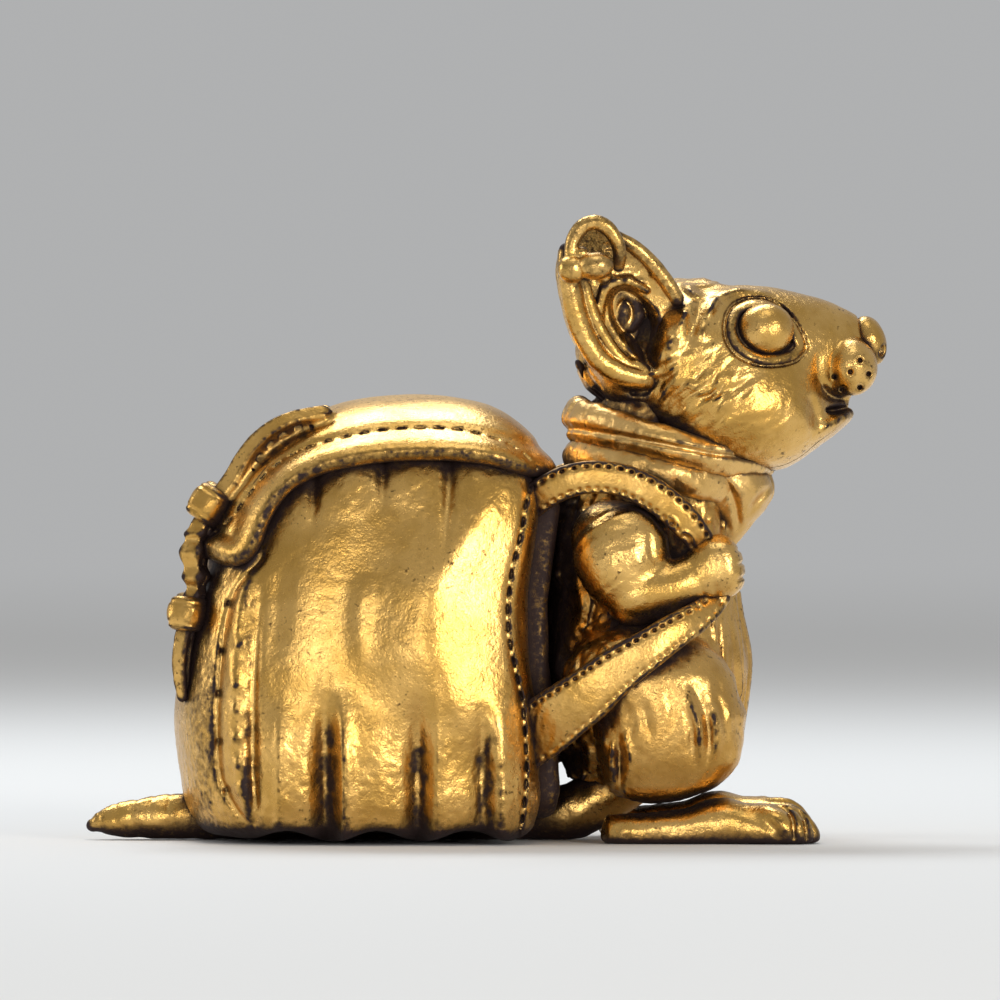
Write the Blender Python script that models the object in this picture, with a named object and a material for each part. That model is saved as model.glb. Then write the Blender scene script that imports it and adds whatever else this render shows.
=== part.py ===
"""A small cast brass ornament: a crouching mouse in a neckerchief that carries a big rucksack.

+X runs to the nose, +Z up and +Y to the mouse's left. The origin is on the ground, under the middle
of the piece. Everything is in metres. Each sculpted part is a solid of its own, let into its
neighbours with a thin clearance.
"""
import math

import bmesh
import bpy
import numpy as np
from mathutils import Vector

# Clearance between neighbours
GAP = 0.0003

# Rucksack
BAG_LENGTH = 0.0192
BAG_WIDTH = 0.0200
BAG_HEIGHT = 0.02245
BAG_FRONT = 0.0028
FLAP_THICKNESS = 0.0007
PANEL_THICKNESS = 0.0006
FLAP_STRAP_SPREAD = 0.0055
FLAP_STRAP_WIDTH = 0.0012
FLAP_STRAP_THICKNESS = 0.0007
KEEPER_LENGTH = 0.0017
KEEPER_WALL = 0.0003

# Shoulder straps
STRAP_WIDTH = 0.0017
STRAP_THICKNESS = 0.0012
STRAP_FOOT_WIDTH = 0.0032

# Torso, haunches and feet
TORSO_LENGTH = 0.0108
TORSO_WIDTH = 0.0112
TORSO_HEIGHT = 0.0240
LEG_LENGTH = 0.0096
LEG_HEIGHT = 0.0091
LEG_WIDTH = 0.0062
LEG_SPREAD = 0.0060
FOOT_LENGTH = 0.0109
FOOT_HEIGHT = 0.0028
FOOT_WIDTH = 0.0046

# Arms
ARM_RADIUS = 0.0024
WRIST_RADIUS = 0.0013
HAND_LENGTH = 0.0025
HAND_WIDTH = 0.0030
HAND_HEIGHT = 0.0030

# Head
HEAD_LENGTH = 0.0157
HEAD_HEIGHT = 0.0099
HEAD_WIDTH = 0.0114
EYE_RADIUS = 0.00137
EYELID_LENGTH = 0.0042
EYELID_HEIGHT = 0.0035
EYELID_RADIUS = 0.0004
PAD_RADIUS = 0.00145
NOSE_LENGTH = 0.0014
NOSE_WIDTH = 0.0018
NOSE_HEIGHT = 0.0022
JAW_LENGTH = 0.0040
JAW_WIDTH = 0.0030

# Ears and the hoop in the right one
EAR_LENGTH = 0.0095
EAR_WIDTH = 0.0063
EAR_DEPTH = 0.0026
EAR_TAPER = 0.20
HOOP_RADIUS = 0.00135
HOOP_TUBE = 0.00045

# Neckerchief
SCARF_LENGTH = 0.0112
SCARF_WIDTH = 0.0116
COLLAR_HEIGHT = 0.0027
COLLAR_THICKNESS = 0.0019
WRAP_HEIGHT = 0.0020
POINT_DROP = 0.0042

# Tail
TAIL_THICKNESS = 0.0025
TAIL_REACH = 0.0045

# Solids are cut while they are this many times larger, where Blender's merge distances are small
WORK_SCALE = 1000

# After the cuts, faces within this angle are joined and edges below this many millimetres closed up
FLATNESS = math.radians(2)
SHORTEST_EDGE = 0.01

# Edges sharper than this are shaded as edges
CREASE_ANGLE = math.radians(40)

# A vertex at a sharp corner moves out by at most this many times the distance when a piece is grown
CORNER_REACH = 1.5

# The simple solids that a joined piece is made of
MADE_OF = {}

RIGHT, LEFT = -1, 1
SIDES = {"right": RIGHT, "left": LEFT}

# Heights and reaches of the rucksack's rings, as shares: height, front and rear setback, width
BAG_RINGS = [
    (0.00, 0.060, 0.130, 0.86), (0.04, 0.020, 0.063, 0.94), (0.12, 0.000, 0.021, 0.985),
    (0.28, 0.010, 0.000, 1.00), (0.42, 0.030, 0.016, 0.99), (0.56, 0.034, 0.050, 0.96),
    (0.68, 0.014, 0.092, 0.92), (0.78, 0.000, 0.145, 0.87), (0.865, 0.015, 0.220, 0.79),
    (0.93, 0.070, 0.315, 0.67), (0.975, 0.150, 0.420, 0.52), (1.00, 0.265, 0.520, 0.32),
]
BAG_FRONT_POWER = 5.0
BAG_REAR_POWER = 2.8

# The flap's hem seen from the side, as shares of the rucksack's length (from its front) and height
FLAP_HEM = [
    (1.07, 0.680), (0.89, 0.670), (0.80, 0.665), (0.755, 0.690), (0.735, 0.765), (0.700, 0.800),
    (0.652, 0.830), (0.575, 0.866), (0.465, 0.890), (0.355, 0.902), (0.250, 0.902),
    (0.140, 0.890), (0.070, 0.872), (-0.09, 0.842),
]

# Where a flap strap runs, in the same shares
FLAP_STRAP_PATH = [
    (0.60, 1.015), (0.67, 0.998), (0.735, 0.960), (0.790, 0.905), (0.840, 0.845), (0.885, 0.787),
    (0.925, 0.725), (0.943, 0.655), (0.936, 0.590), (0.948, 0.532), (0.965, 0.470),
    (0.975, 0.410), (0.968, 0.340),
]
KEEPERS_AT = {"upper": 5, "lower": 9}

# Rings of the torso, as shares: height, back and front reach, width
TORSO_RINGS = [
    (0.108, 0.31, 0.69, 0.36), (0.150, 0.14, 0.86, 0.70), (0.250, 0.03, 0.96, 0.93),
    (0.383, 0.00, 1.00, 1.00), (0.520, 0.00, 0.95, 1.00), (0.667, 0.01, 0.91, 0.95),
    (0.770, 0.07, 0.88, 0.88), (0.850, 0.14, 0.87, 0.77), (0.940, 0.21, 0.88, 0.70),
    (1.000, 0.31, 0.82, 0.59),
]

# Rings of a haunch, as shares: height, back and front reach, inner and outer reach
LEG_RINGS = [
    (0.00, 0.35, 0.69, 0.35, 0.68), (0.07, 0.25, 0.86, 0.16, 0.86), (0.23, 0.21, 0.97, 0.05, 0.97),
    (0.45, 0.17, 1.00, 0.00, 1.00), (0.66, 0.00, 0.95, 0.00, 0.98), (0.84, 0.08, 0.84, 0.06, 0.84),
    (0.95, 0.23, 0.60, 0.18, 0.68), (1.00, 0.34, 0.50, 0.30, 0.55),
]

# Rings of a foot, as shares: length, top, width
FOOT_RINGS = [
    (0.00, 0.48, 0.30), (0.04, 0.62, 0.58), (0.21, 0.76, 0.76), (0.40, 0.89, 0.80),
    (0.55, 1.00, 0.84), (0.73, 0.90, 0.92), (0.88, 0.84, 1.00), (0.96, 0.66, 0.94),
    (1.00, 0.40, 0.64),
]

# Rings of the head from its back to the muzzle, as shares: length, low and high edge, width
HEAD_RINGS = [
    (0.00, 0.52, 0.66, 0.22), (0.045, 0.38, 0.79, 0.52), (0.135, 0.28, 0.91, 0.80),
    (0.265, 0.17, 0.985, 0.96), (0.405, 0.07, 1.00, 1.00), (0.545, 0.01, 0.975, 0.93),
    (0.680, 0.04, 0.950, 0.77), (0.775, 0.16, 0.915, 0.60), (0.865, 0.29, 0.865, 0.46),
    (0.945, 0.39, 0.790, 0.33), (1.000, 0.48, 0.730, 0.18),
]

# Rings of the lower jaw, as shares: length, low and high edge of the head's height, width
JAW_RINGS = [
    (0.00, 0.05, 0.16, 0.60), (0.40, 0.065, 0.215, 1.00), (0.70, 0.135, 0.255, 0.85),
    (0.92, 0.215, 0.290, 0.55), (1.00, 0.245, 0.280, 0.25),
]

# Rings of an ear's bowl, as shares of its length and width and of its depth, inside to out
EAR_RINGS = [
    (0.30, 0.00), (0.62, 0.12), (0.86, 0.45), (1.00, 0.80), (0.97, 1.00), (0.86, 0.98),
    (0.70, 0.72), (0.40, 0.52), (0.12, 0.50),
]

TORSO_BACK = BAG_FRONT + PANEL_THICKNESS / 2
TORSO_FRONT = TORSO_BACK + TORSO_LENGTH
HEAD_BACK = TORSO_BACK + 0.17 * TORSO_LENGTH
HEAD_BASE = 0.82 * TORSO_HEIGHT


def through(rows, steps):
    """Rows of numbers carried smoothly through the given ones, without overshooting them."""
    rows = np.array(rows, dtype=float)
    slopes = np.diff(rows, axis=0)
    tangents = np.vstack([slopes[:1], (slopes[:-1] + slopes[1:]) / 2, slopes[-1:]])
    tangents[1:-1][slopes[:-1] * slopes[1:] <= 0] = 0
    result = []
    for k in range(len(slopes)):
        for t in np.arange(steps) / steps:
            result.append(
                rows[k] * (1 + 2 * t) * (1 - t) ** 2
                + rows[k + 1] * t * t * (3 - 2 * t)
                + tangents[k] * t * (1 - t) ** 2
                - tangents[k + 1] * t * t * (1 - t)
            )
    result.append(rows[-1])
    return result


def squared(value, power):
    """A sine or cosine, squared off by the power of a superellipse."""
    return math.copysign(abs(value) ** (2 / power), value)


def ring(centre, side, rise, count, power=2.0, back_power=None):
    """One closed ring about the centre, from its half axes side and rise."""
    points = []
    for k in range(count):
        turn = 2 * math.pi * k / count
        across, up = math.cos(turn), math.sin(turn)
        shape = power if across >= 0 or back_power is None else back_power
        points.append(centre + side * squared(across, shape) + rise * squared(up, shape))
    return points


def skin(name, rings, closed=False):
    """A solid over a row of rings, capped at both ends or closed on itself."""
    mesh = bmesh.new()
    rows = [[mesh.verts.new(point * WORK_SCALE) for point in points] for points in rings]
    pairs = list(zip(rows, rows[1:]))
    if closed:
        pairs.append((rows[-1], rows[0]))
    else:
        mesh.faces.new(rows[0])
        mesh.faces.new(rows[-1])
    for near, far in pairs:
        for k in range(len(near)):
            mesh.faces.new((near[k], near[k - 1], far[k - 1], far[k]))
    return finished(name, mesh)


def finished(name, mesh):
    """The object made from a bmesh, in triangles and with its faces turned out."""
    bmesh.ops.triangulate(mesh, faces=mesh.faces)
    bmesh.ops.recalc_face_normals(mesh, faces=mesh.faces)
    data = bpy.data.meshes.new(name)
    mesh.to_mesh(data)
    mesh.free()
    piece = bpy.data.objects.new(name, data)
    bpy.context.scene.collection.objects.link(piece)
    return piece


def cut_at_ground(piece):
    """The piece with everything below the ground sliced off flat."""
    mesh = bmesh.new()
    mesh.from_mesh(piece.data)
    geometry = list(mesh.verts) + list(mesh.edges) + list(mesh.faces)
    cut = bmesh.ops.bisect_plane(
        mesh, geom=geometry, plane_co=(0, 0, 0), plane_no=(0, 0, 1), clear_inner=True
    )
    rim = [edge for edge in cut["geom_cut"] if isinstance(edge, bmesh.types.BMEdge)]
    bmesh.ops.edgeloop_fill(mesh, edges=rim)
    bmesh.ops.recalc_face_normals(mesh, faces=mesh.faces)
    mesh.to_mesh(piece.data)
    mesh.free()
    return piece


def egg(name, centre, half_sizes, sides=12, rings=6):
    """An ellipsoid with its poles along X."""
    length, width, height = half_sizes
    rows = []
    for k in range(rings + 1):
        turn = math.pi * (k + 0.3) / (rings + 0.6)
        spread = math.sin(turn)
        middle = centre + Vector((-length * math.cos(turn), 0, 0))
        rows.append(ring(middle, Vector((0, width * spread, 0)), Vector((0, 0, height * spread)), sides))
    return skin(name, rows)


def limb(name, path, sides=10, steps=2):
    """A round limb along rows of x, y, z and radius, with rounded ends."""
    rows = through(path, steps)
    points = [Vector(row[:3]) for row in rows]
    rings = []
    for k, row in enumerate(rows):
        ahead = (points[min(k + 1, len(points) - 1)] - points[max(k - 1, 0)]).normalized()
        side = ahead.cross(Vector((0, 1, 0))).normalized()
        rise = ahead.cross(side)
        rings.append(ring(points[k], side * row[3], rise * row[3], sides))
        if k in (0, len(rows) - 1):
            tip = -0.7 if k == 0 else 0.7
            dome = ring(points[k] + ahead * row[3] * tip, side * row[3] * 0.6, rise * row[3] * 0.6, sides)
            rings.insert(0 if k == 0 else len(rings), dome)
    return skin(name, rings)


def band(name, rows, facing, steps=1, power=4.0, sides=8):
    """A flat band along rows of x, y, z, width and thickness, with its face turned to facing."""
    rows = through(rows, steps)
    points = [Vector(row[:3]) for row in rows]
    rings = []
    for k, row in enumerate(rows):
        ahead = (points[min(k + 1, len(points) - 1)] - points[max(k - 1, 0)]).normalized()
        out = facing(ahead)
        across = out.cross(ahead).normalized()
        out = ahead.cross(across).normalized()
        rings.append(ring(points[k], across * row[3] / 2, out * row[4] / 2, sides, power))
    return skin(name, rings)


def bag_point(length_share, height_share, y):
    """A point beside the rucksack, by its share of the length from the front and of the height."""
    return Vector((BAG_FRONT - length_share * BAG_LENGTH, y, height_share * BAG_HEIGHT))


def bag_front(height_share):
    """Place of the rucksack's front and its half width, at a share of its height."""
    rows = np.array(BAG_RINGS)
    setback = np.interp(height_share, rows[:, 0], rows[:, 1])
    width = np.interp(height_share, rows[:, 0], rows[:, 3])
    return BAG_FRONT - setback * BAG_LENGTH, width * BAG_WIDTH / 2


def make_bag_body():
    rings = []
    for height, front, rear, width in BAG_RINGS:
        near, far = BAG_FRONT - front * BAG_LENGTH, BAG_FRONT - (1 - rear) * BAG_LENGTH
        middle = Vector(((near + far) / 2, 0, height * BAG_HEIGHT))
        side = Vector(((near - far) / 2, 0, 0))
        rise = Vector((0, width * BAG_WIDTH / 2, 0))
        rings.append(ring(middle, side, rise, 32, BAG_FRONT_POWER, BAG_REAR_POWER))
    return skin("bag_body", rings)


def make_bag_flap(bag):
    """The part of a thick shell over the rucksack that lies above the hem."""
    flap = grown(bag, GAP + FLAP_THICKNESS)
    flap.name = "bag_flap"
    outline = [bag_point(along, up, 0) for along, up in FLAP_HEM]
    top = BAG_HEIGHT * 1.2
    outline += [Vector((outline[-1].x, 0, top)), Vector((outline[0].x, 0, top))]
    reach = Vector((0, BAG_WIDTH, 0))
    region = skin("above_hem", [[p - reach for p in outline], [p + reach for p in outline]])
    combined(flap, region, "INTERSECT")
    bpy.data.objects.remove(region)
    return flap


def make_back_panel():
    """The flat pad between the rucksack and the mouse's back."""
    rings = []
    for share, tuck in (
        (0.06, 0.9), (0.09, 1.0), (0.25, 1.0), (0.42, 1.0), (0.58, 1.0), (0.72, 1.0), (0.80, 1.0),
        (0.83, 0.9),
    ):
        front, half_width = bag_front(share)
        middle = Vector((front, 0, share * BAG_HEIGHT))
        depth = Vector(((GAP + PANEL_THICKNESS) * tuck, 0, 0))
        rings.append(ring(middle, depth, Vector((0, 0.80 * half_width * tuck, 0)), 16, 6.0))
    return skin("bag_back_panel", rings)


def flap_strap_facing(side):
    """The outward direction of a flap strap, which lies on the rucksack's rounded rear corner."""
    def facing(ahead):
        out = Vector((ahead.z, 0, -ahead.x))
        return (out * 0.85 + Vector((0, side * 0.5, 0))).normalized()
    return facing


def flap_strap_points(side):
    return [bag_point(along, up, side * FLAP_STRAP_SPREAD) for along, up in FLAP_STRAP_PATH]


def make_flap_strap(word, side):
    rows = [(*p, FLAP_STRAP_WIDTH, FLAP_STRAP_THICKNESS) for p in flap_strap_points(side)]
    rows[0] = (*rows[0][:3], FLAP_STRAP_WIDTH * 0.8, FLAP_STRAP_THICKNESS * 0.7)
    rows[-1] = (*rows[-1][:3], FLAP_STRAP_WIDTH * 0.5, FLAP_STRAP_THICKNESS * 0.6)
    return band("flap_strap_" + word, rows, flap_strap_facing(side))


def make_keeper(level, word, side):
    """A barrel-shaped loop round a flap strap."""
    points = flap_strap_points(side)
    place = KEEPERS_AT[level]
    ahead = (points[place + 1] - points[place - 1]).normalized()
    half_width = FLAP_STRAP_WIDTH / 2 + GAP + KEEPER_WALL
    half_depth = FLAP_STRAP_THICKNESS / 2 + GAP + KEEPER_WALL
    rows = []
    for share, swell in ((-0.5, 0.86), (-0.36, 1.0), (0.0, 1.08), (0.36, 1.0), (0.5, 0.86)):
        middle = points[place] + ahead * KEEPER_LENGTH * share
        rows.append((*middle, 2 * half_width * swell, 2 * half_depth * swell))
    name = "keeper_" + level + "_" + word
    return band(name, rows, flap_strap_facing(side), power=2.6, sides=12)


def make_torso():
    rings = []
    for height, back, front, width in TORSO_RINGS:
        near, far = TORSO_BACK + back * TORSO_LENGTH, TORSO_BACK + front * TORSO_LENGTH
        middle = Vector(((near + far) / 2, 0, height * TORSO_HEIGHT))
        side = Vector(((far - near) / 2, 0, 0))
        rings.append(ring(middle, side, Vector((0, width * TORSO_WIDTH / 2, 0)), 18, 2.2))
    return skin("torso", rings)


def leg_box():
    """Back, foot and inner side of a haunch: it fills the torso's front half, beside it."""
    back = TORSO_FRONT - 0.038 * TORSO_LENGTH - LEG_LENGTH
    return back, FOOT_HEIGHT * 0.86, LEG_SPREAD - LEG_WIDTH / 2


def make_leg(word, side):
    back, low, inner = leg_box()
    rings = []
    for height, rear, front, near, far in LEG_RINGS:
        x = back + (rear + front) / 2 * LEG_LENGTH
        y = side * (inner + (near + far) / 2 * LEG_WIDTH)
        middle = Vector((x, y, low + height * LEG_HEIGHT))
        reach = Vector(((front - rear) / 2 * LEG_LENGTH, 0, 0))
        rings.append(ring(middle, reach, Vector((0, (far - near) / 2 * LEG_WIDTH, 0)), 16, 2.1))
    return skin("leg_" + word, rings)


def make_foot(word, side):
    heel = leg_box()[0] + 0.24 * LEG_LENGTH
    rings = []
    for along, top, width in FOOT_RINGS:
        high, low = top * FOOT_HEIGHT, -0.35 * FOOT_HEIGHT
        middle = Vector((heel + along * FOOT_LENGTH, side * LEG_SPREAD * 0.97, (high + low) / 2))
        reach = Vector((0, width * FOOT_WIDTH / 2, 0))
        rings.append(ring(middle, reach, Vector((0, 0, (high - low) / 2)), 14, 2.3))
    return cut_at_ground(skin("foot_" + word, rings))


def hand_centre(side):
    """A fist in front of the chest, just outside the body."""
    return Vector((
        TORSO_FRONT - 0.18 * TORSO_LENGTH,
        side * (0.43 * TORSO_WIDTH + HAND_WIDTH / 2 - GAP),
        0.615 * TORSO_HEIGHT,
    ))


def make_hand(word, side):
    """The closed fist round the straps."""
    half = (HAND_LENGTH / 2, HAND_WIDTH / 2, HAND_HEIGHT / 2)
    return egg("hand_" + word, hand_centre(side), half)


def make_arm(word, side):
    """From the shoulder down to the elbow and forward to the fist."""
    hand = hand_centre(side)
    flank = TORSO_WIDTH / 2
    shoulder_x, shoulder_z = TORSO_BACK + 0.26 * TORSO_LENGTH, 0.668 * TORSO_HEIGHT
    drop, reach = shoulder_z - hand.z, hand.x - shoulder_x
    elbow_x, elbow_z = shoulder_x + 0.27 * reach, hand.z - 1.4 * drop
    bulge = side * (flank + 0.30 * ARM_RADIUS)
    upper = limb("upper_arm", [
        (shoulder_x, side * (flank - 0.05 * ARM_RADIUS), shoulder_z, 0.84 * ARM_RADIUS),
        ((shoulder_x + elbow_x) / 2, bulge, (shoulder_z + elbow_z) / 2, ARM_RADIUS),
        (elbow_x, bulge, elbow_z, 0.66 * ARM_RADIUS),
    ])
    elbow_radius = (ARM_RADIUS + WRIST_RADIUS) * 0.41
    fore = limb("forearm", [
        (elbow_x, side * (flank + 0.35 * ARM_RADIUS), elbow_z, elbow_radius),
        ((elbow_x + hand.x) / 2, (side * flank + hand.y) / 2, (elbow_z + hand.z) / 2 - 0.06 * drop,
         (elbow_radius + WRIST_RADIUS) / 2),
        (hand.x - 0.08 * reach, hand.y, hand.z, WRIST_RADIUS * 0.95),
    ])
    whole = duplicate(upper, "arm_" + word)
    MADE_OF[whole.name] = [upper, fore]
    return combined(whole, fore, "UNION")


def strap_facing(side):
    return lambda ahead: Vector((0, side, 0))


def make_upper_strap(word, side):
    """From the rucksack's top front corner, over the shoulder, down to the fist."""
    hand = hand_centre(side)
    back = BAG_FRONT
    top = 0.835 * TORSO_HEIGHT - STRAP_WIDTH / 2
    outer = TORSO_WIDTH / 2 + 0.55 * ARM_RADIUS
    reach, fall = hand.x - back, top - hand.z
    end_tuck = (outer - abs(hand.y)) / 2 / STRAP_THICKNESS
    path = [
        (-0.01, 0.50, 0.58), (0.02, 0.40, 0.28), (0.13, 0.15, 0.06), (0.32, 0.00, 0.00),
        (0.51, 0.00, 0.09), (0.68, 0.10, 0.27), (0.83, 0.25, 0.53), (0.97, end_tuck, 0.86),
    ]
    rows = [
        (back + along * reach, side * (outer - tuck * STRAP_THICKNESS), top - down * fall,
         STRAP_WIDTH, STRAP_THICKNESS)
        for along, tuck, down in path
    ]
    return band("shoulder_strap_upper_" + word, rows, strap_facing(side), steps=2)


def make_lower_strap(word, side):
    """From the fist, over the haunch, back to the rucksack's lower front corner."""
    hand = hand_centre(side)
    start_x, start_z = BAG_FRONT - 0.15 * STRAP_THICKNESS, 0.245 * BAG_HEIGHT
    outer = leg_box()[2] + LEG_WIDTH - 0.1 * STRAP_THICKNESS
    reach, climb = hand.x - start_x, hand.z - start_z
    end_tuck = (outer - abs(hand.y)) / STRAP_THICKNESS
    path = [
        (0.00, 0.50, 0.05, 1.00), (0.12, 0.15, 0.14, 0.94), (0.27, 0.00, 0.27, 0.84),
        (0.50, 0.10, 0.46, 0.69), (0.74, 0.65, 0.62, 0.55), (0.92, end_tuck / 2, 0.73, 0.44),
        (1.02, end_tuck, 0.82, 0.40),
    ]
    rows = [
        (start_x + along * reach, side * (outer - tuck * STRAP_THICKNESS), start_z + up * climb,
         STRAP_FOOT_WIDTH * width, STRAP_THICKNESS)
        for along, tuck, up, width in path
    ]
    return band("shoulder_strap_lower_" + word, rows, strap_facing(side))


def make_tail():
    """Out of the rump, along a groove under the rucksack and out behind it to a blunt tip."""
    radius = TAIL_THICKNESS / 2
    rear = BAG_FRONT - BAG_LENGTH
    tip = rear - TAIL_REACH
    path = [
        (tip, 0, 0.50 * radius, 0.28 * radius),
        (tip + 0.12 * TAIL_REACH, 0, 0.58 * radius, 0.46 * radius),
        (tip + 0.35 * TAIL_REACH, 0, 0.78 * radius, 0.72 * radius),
        (tip + 0.68 * TAIL_REACH, 0, 0.92 * radius, 0.88 * radius),
        (rear + 0.04 * BAG_LENGTH, 0, 0.98 * radius, 1.00 * radius),
        (rear + 0.40 * BAG_LENGTH, 0, 0.95 * radius, 1.00 * radius),
        (rear + 0.95 * BAG_LENGTH, 0, 0.98 * radius, 1.08 * radius),
        (TORSO_BACK + 0.16 * TORSO_LENGTH, 0, 0.066 * TORSO_HEIGHT, 1.2 * radius),
        (TORSO_BACK + 0.40 * TORSO_LENGTH, 0, 0.140 * TORSO_HEIGHT, 1.3 * radius),
    ]
    return cut_at_ground(limb("tail", path, sides=12, steps=1))


def head_point(along, up, y):
    return Vector((HEAD_BACK + along * HEAD_LENGTH, y, HEAD_BASE + up * HEAD_HEIGHT))


def head_side(along, up):
    """Half the head's width at a place on its side, by shares of its length and height."""
    rows = np.array(HEAD_RINGS)
    low, high, width = (np.interp(along, rows[:, 0], rows[:, k]) for k in (1, 2, 3))
    rise = (up - (low + high) / 2) / ((high - low) / 2)
    return width * HEAD_WIDTH / 2 * math.sqrt(max(0.05, 1 - rise * rise))


def make_head():
    rings = []
    for along, low, high, width in HEAD_RINGS:
        middle = head_point(along, (low + high) / 2, 0)
        rise = Vector((0, 0, (high - low) / 2 * HEAD_HEIGHT))
        rings.append(ring(middle, Vector((0, width * HEAD_WIDTH / 2, 0)), rise, 20, 2.1))
    return skin("head", rings)


def make_lower_jaw():
    rings = []
    for along, low, high, width in JAW_RINGS:
        middle = head_point(0.64, (low + high) / 2, 0) + Vector((along * JAW_LENGTH, 0, 0))
        rise = Vector((0, 0, (high - low) / 2 * HEAD_HEIGHT))
        rings.append(ring(middle, Vector((0, width * JAW_WIDTH / 2, 0)), rise, 12))
    return skin("lower_jaw", rings)


def make_nose():
    """The knob at the tip of the snout."""
    half = (NOSE_LENGTH / 2, NOSE_WIDTH / 2, NOSE_HEIGHT / 2)
    return egg("nose", head_point(0.985, 0.68, 0), half, 12, 5)


def make_whisker_pad(word, side):
    centre = head_point(0.895, 0.537, side * (PAD_RADIUS + GAP / 2))
    return egg("whisker_pad_" + word, centre, (PAD_RADIUS,) * 3)


def eye_centre(side):
    """The ball stands out of the head by two thirds of its radius."""
    along, up = 0.598, 0.722
    return head_point(along, up, side * (head_side(along, up) - EYE_RADIUS * 0.33))


def make_eye(word, side):
    return egg("eye_" + word, eye_centre(side), (EYE_RADIUS,) * 3)


def make_eyelid(word, side):
    """A raised oval rim round the eye, laid on the cheek."""
    centre = eye_centre(side)
    rings, count = [], 16
    for k in range(count):
        turn = 2 * math.pi * k / count
        out = Vector((math.cos(turn), 0, math.sin(turn)))
        x = centre.x + out.x * (EYELID_LENGTH / 2 - EYELID_RADIUS)
        z = centre.z + out.z * (EYELID_HEIGHT / 2 - EYELID_RADIUS)
        y = side * head_side((x - HEAD_BACK) / HEAD_LENGTH, (z - HEAD_BASE) / HEAD_HEIGHT)
        tube = ring(Vector((x, y, z)), out * EYELID_RADIUS, Vector((0, EYELID_RADIUS, 0)), 6)
        rings.append(tube)
    return skin("eyelid_" + word, rings, closed=True)


def ear_axes(side):
    """Middle of an ear, with its directions up, across and out of the bowl."""
    centre = head_point(0.108, 0.885, side * (HEAD_WIDTH / 2 - 0.06 * EAR_DEPTH))
    up = Vector((-0.33, side * 0.22, 0.92)).normalized()
    out = Vector((0.22, side * 0.95, -0.12))
    out = (out - up * out.dot(up)).normalized()
    return centre, up, up.cross(out), out


def make_ear(word, side):
    """An oval bowl that faces sideways and a little forward."""
    centre, up, across, out = ear_axes(side)
    rings, count = [], 18
    for size, depth in EAR_RINGS:
        middle = centre + out * (depth - 0.5) * EAR_DEPTH
        points = []
        for k in range(count):
            turn = 2 * math.pi * k / count
            width = size * EAR_WIDTH / 2 * (1 - EAR_TAPER * math.sin(turn))
            rise = size * EAR_LENGTH / 2 * math.sin(turn)
            points.append(middle + across * width * math.cos(turn) + up * rise)
        rings.append(points)
    return skin("ear_" + word, rings)


def make_ear_ring():
    """The hoop, hung through the upper back rim of the right ear."""
    centre, up, across, out = ear_axes(RIGHT)
    if across.x > 0:
        across = -across
    middle = centre + up * 0.305 * EAR_LENGTH + across * 0.074 * EAR_WIDTH + out * 0.28 * EAR_DEPTH
    long, tilt, tall = 0.9, 0.25, 1.1
    rings, count = [], 18
    for k in range(count):
        turn = 2 * math.pi * k / count
        radial = Vector((long * math.cos(turn), RIGHT * tilt * math.cos(turn), tall * math.sin(turn)))
        unit = radial.normalized()
        along = unit.cross(Vector((0, 1, 0))).normalized()
        normal = along.cross(unit)
        rings.append(ring(middle + radial * HOOP_RADIUS, unit * HOOP_TUBE, normal * HOOP_TUBE, 6))
    return skin("ear_ring", rings, closed=True)


def scarf_ring(name, back, front, half_width, heights, half_heights, half_thickness):
    """A roll of cloth round the neck, from its back and front and their heights."""
    rings, count = [], 20
    for k in range(count):
        turn = 2 * math.pi * k / count
        out = Vector((math.cos(turn), math.sin(turn), 0))
        forward = (1 + out.x) / 2
        z = heights[0] + (heights[1] - heights[0]) * forward
        tall = half_heights[0] + (half_heights[1] - half_heights[0]) * forward
        x = (back + front) / 2 + out.x * (front - back) / 2
        centre = Vector((x, out.y * half_width, z))
        lean = Vector((out.x * 0.2, out.y * 0.2, 1)).normalized()
        rings.append(ring(centre, out * half_thickness, lean * tall, 8, 2.4))
    return skin(name, rings, closed=True)


def scarf_places():
    """Back, front and half width of the line that the scarf's rolls follow, and the neck's height."""
    inset = COLLAR_THICKNESS / 2
    back = TORSO_BACK + 0.083 * TORSO_LENGTH + inset
    return back, back - inset * 2 + SCARF_LENGTH, SCARF_WIDTH / 2 - inset, HEAD_BASE


def make_scarf_collar():
    back, front, half_width, neck = scarf_places()
    heights = (neck + 0.85 * COLLAR_HEIGHT, neck - 0.07 * COLLAR_HEIGHT)
    tall = (COLLAR_HEIGHT / 2, COLLAR_HEIGHT * 0.24)
    return scarf_ring("scarf_collar", back, front, half_width, heights, tall, COLLAR_THICKNESS / 2)


def make_scarf_wrap():
    back, front, half_width, neck = scarf_places()
    heights = (neck + 0.20 * WRAP_HEIGHT, neck - 0.60 * WRAP_HEIGHT)
    tall = (WRAP_HEIGHT * 0.55, WRAP_HEIGHT * 0.40)
    shift = 0.18 * COLLAR_THICKNESS
    return scarf_ring(
        "scarf_wrap", back - shift / 2, front - 3 * shift, half_width - shift / 2, heights, tall,
        COLLAR_THICKNESS * 0.42
    )


def make_scarf_point():
    """The hanging corner of the neckerchief, on the chest."""
    _, front, half_width, neck = scarf_places()
    rings = []
    for drop, back, reach, width in (
        (0.00, 3.6, 0.30, 0.80), (0.28, 3.0, 0.30, 0.66), (0.56, 2.2, -0.15, 0.46),
        (0.82, 1.6, -0.75, 0.24), (1.00, 1.35, -1.15, 0.09),
    ):
        near, far = front - back * COLLAR_THICKNESS / 2, front + reach * COLLAR_THICKNESS / 2
        middle = Vector(((near + far) / 2, 0, neck - drop * POINT_DROP))
        side = Vector(((far - near) / 2, 0, 0))
        rings.append(ring(middle, side, Vector((0, width * half_width, 0)), 16, 2.2))
    return skin("scarf_point", rings)


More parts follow.
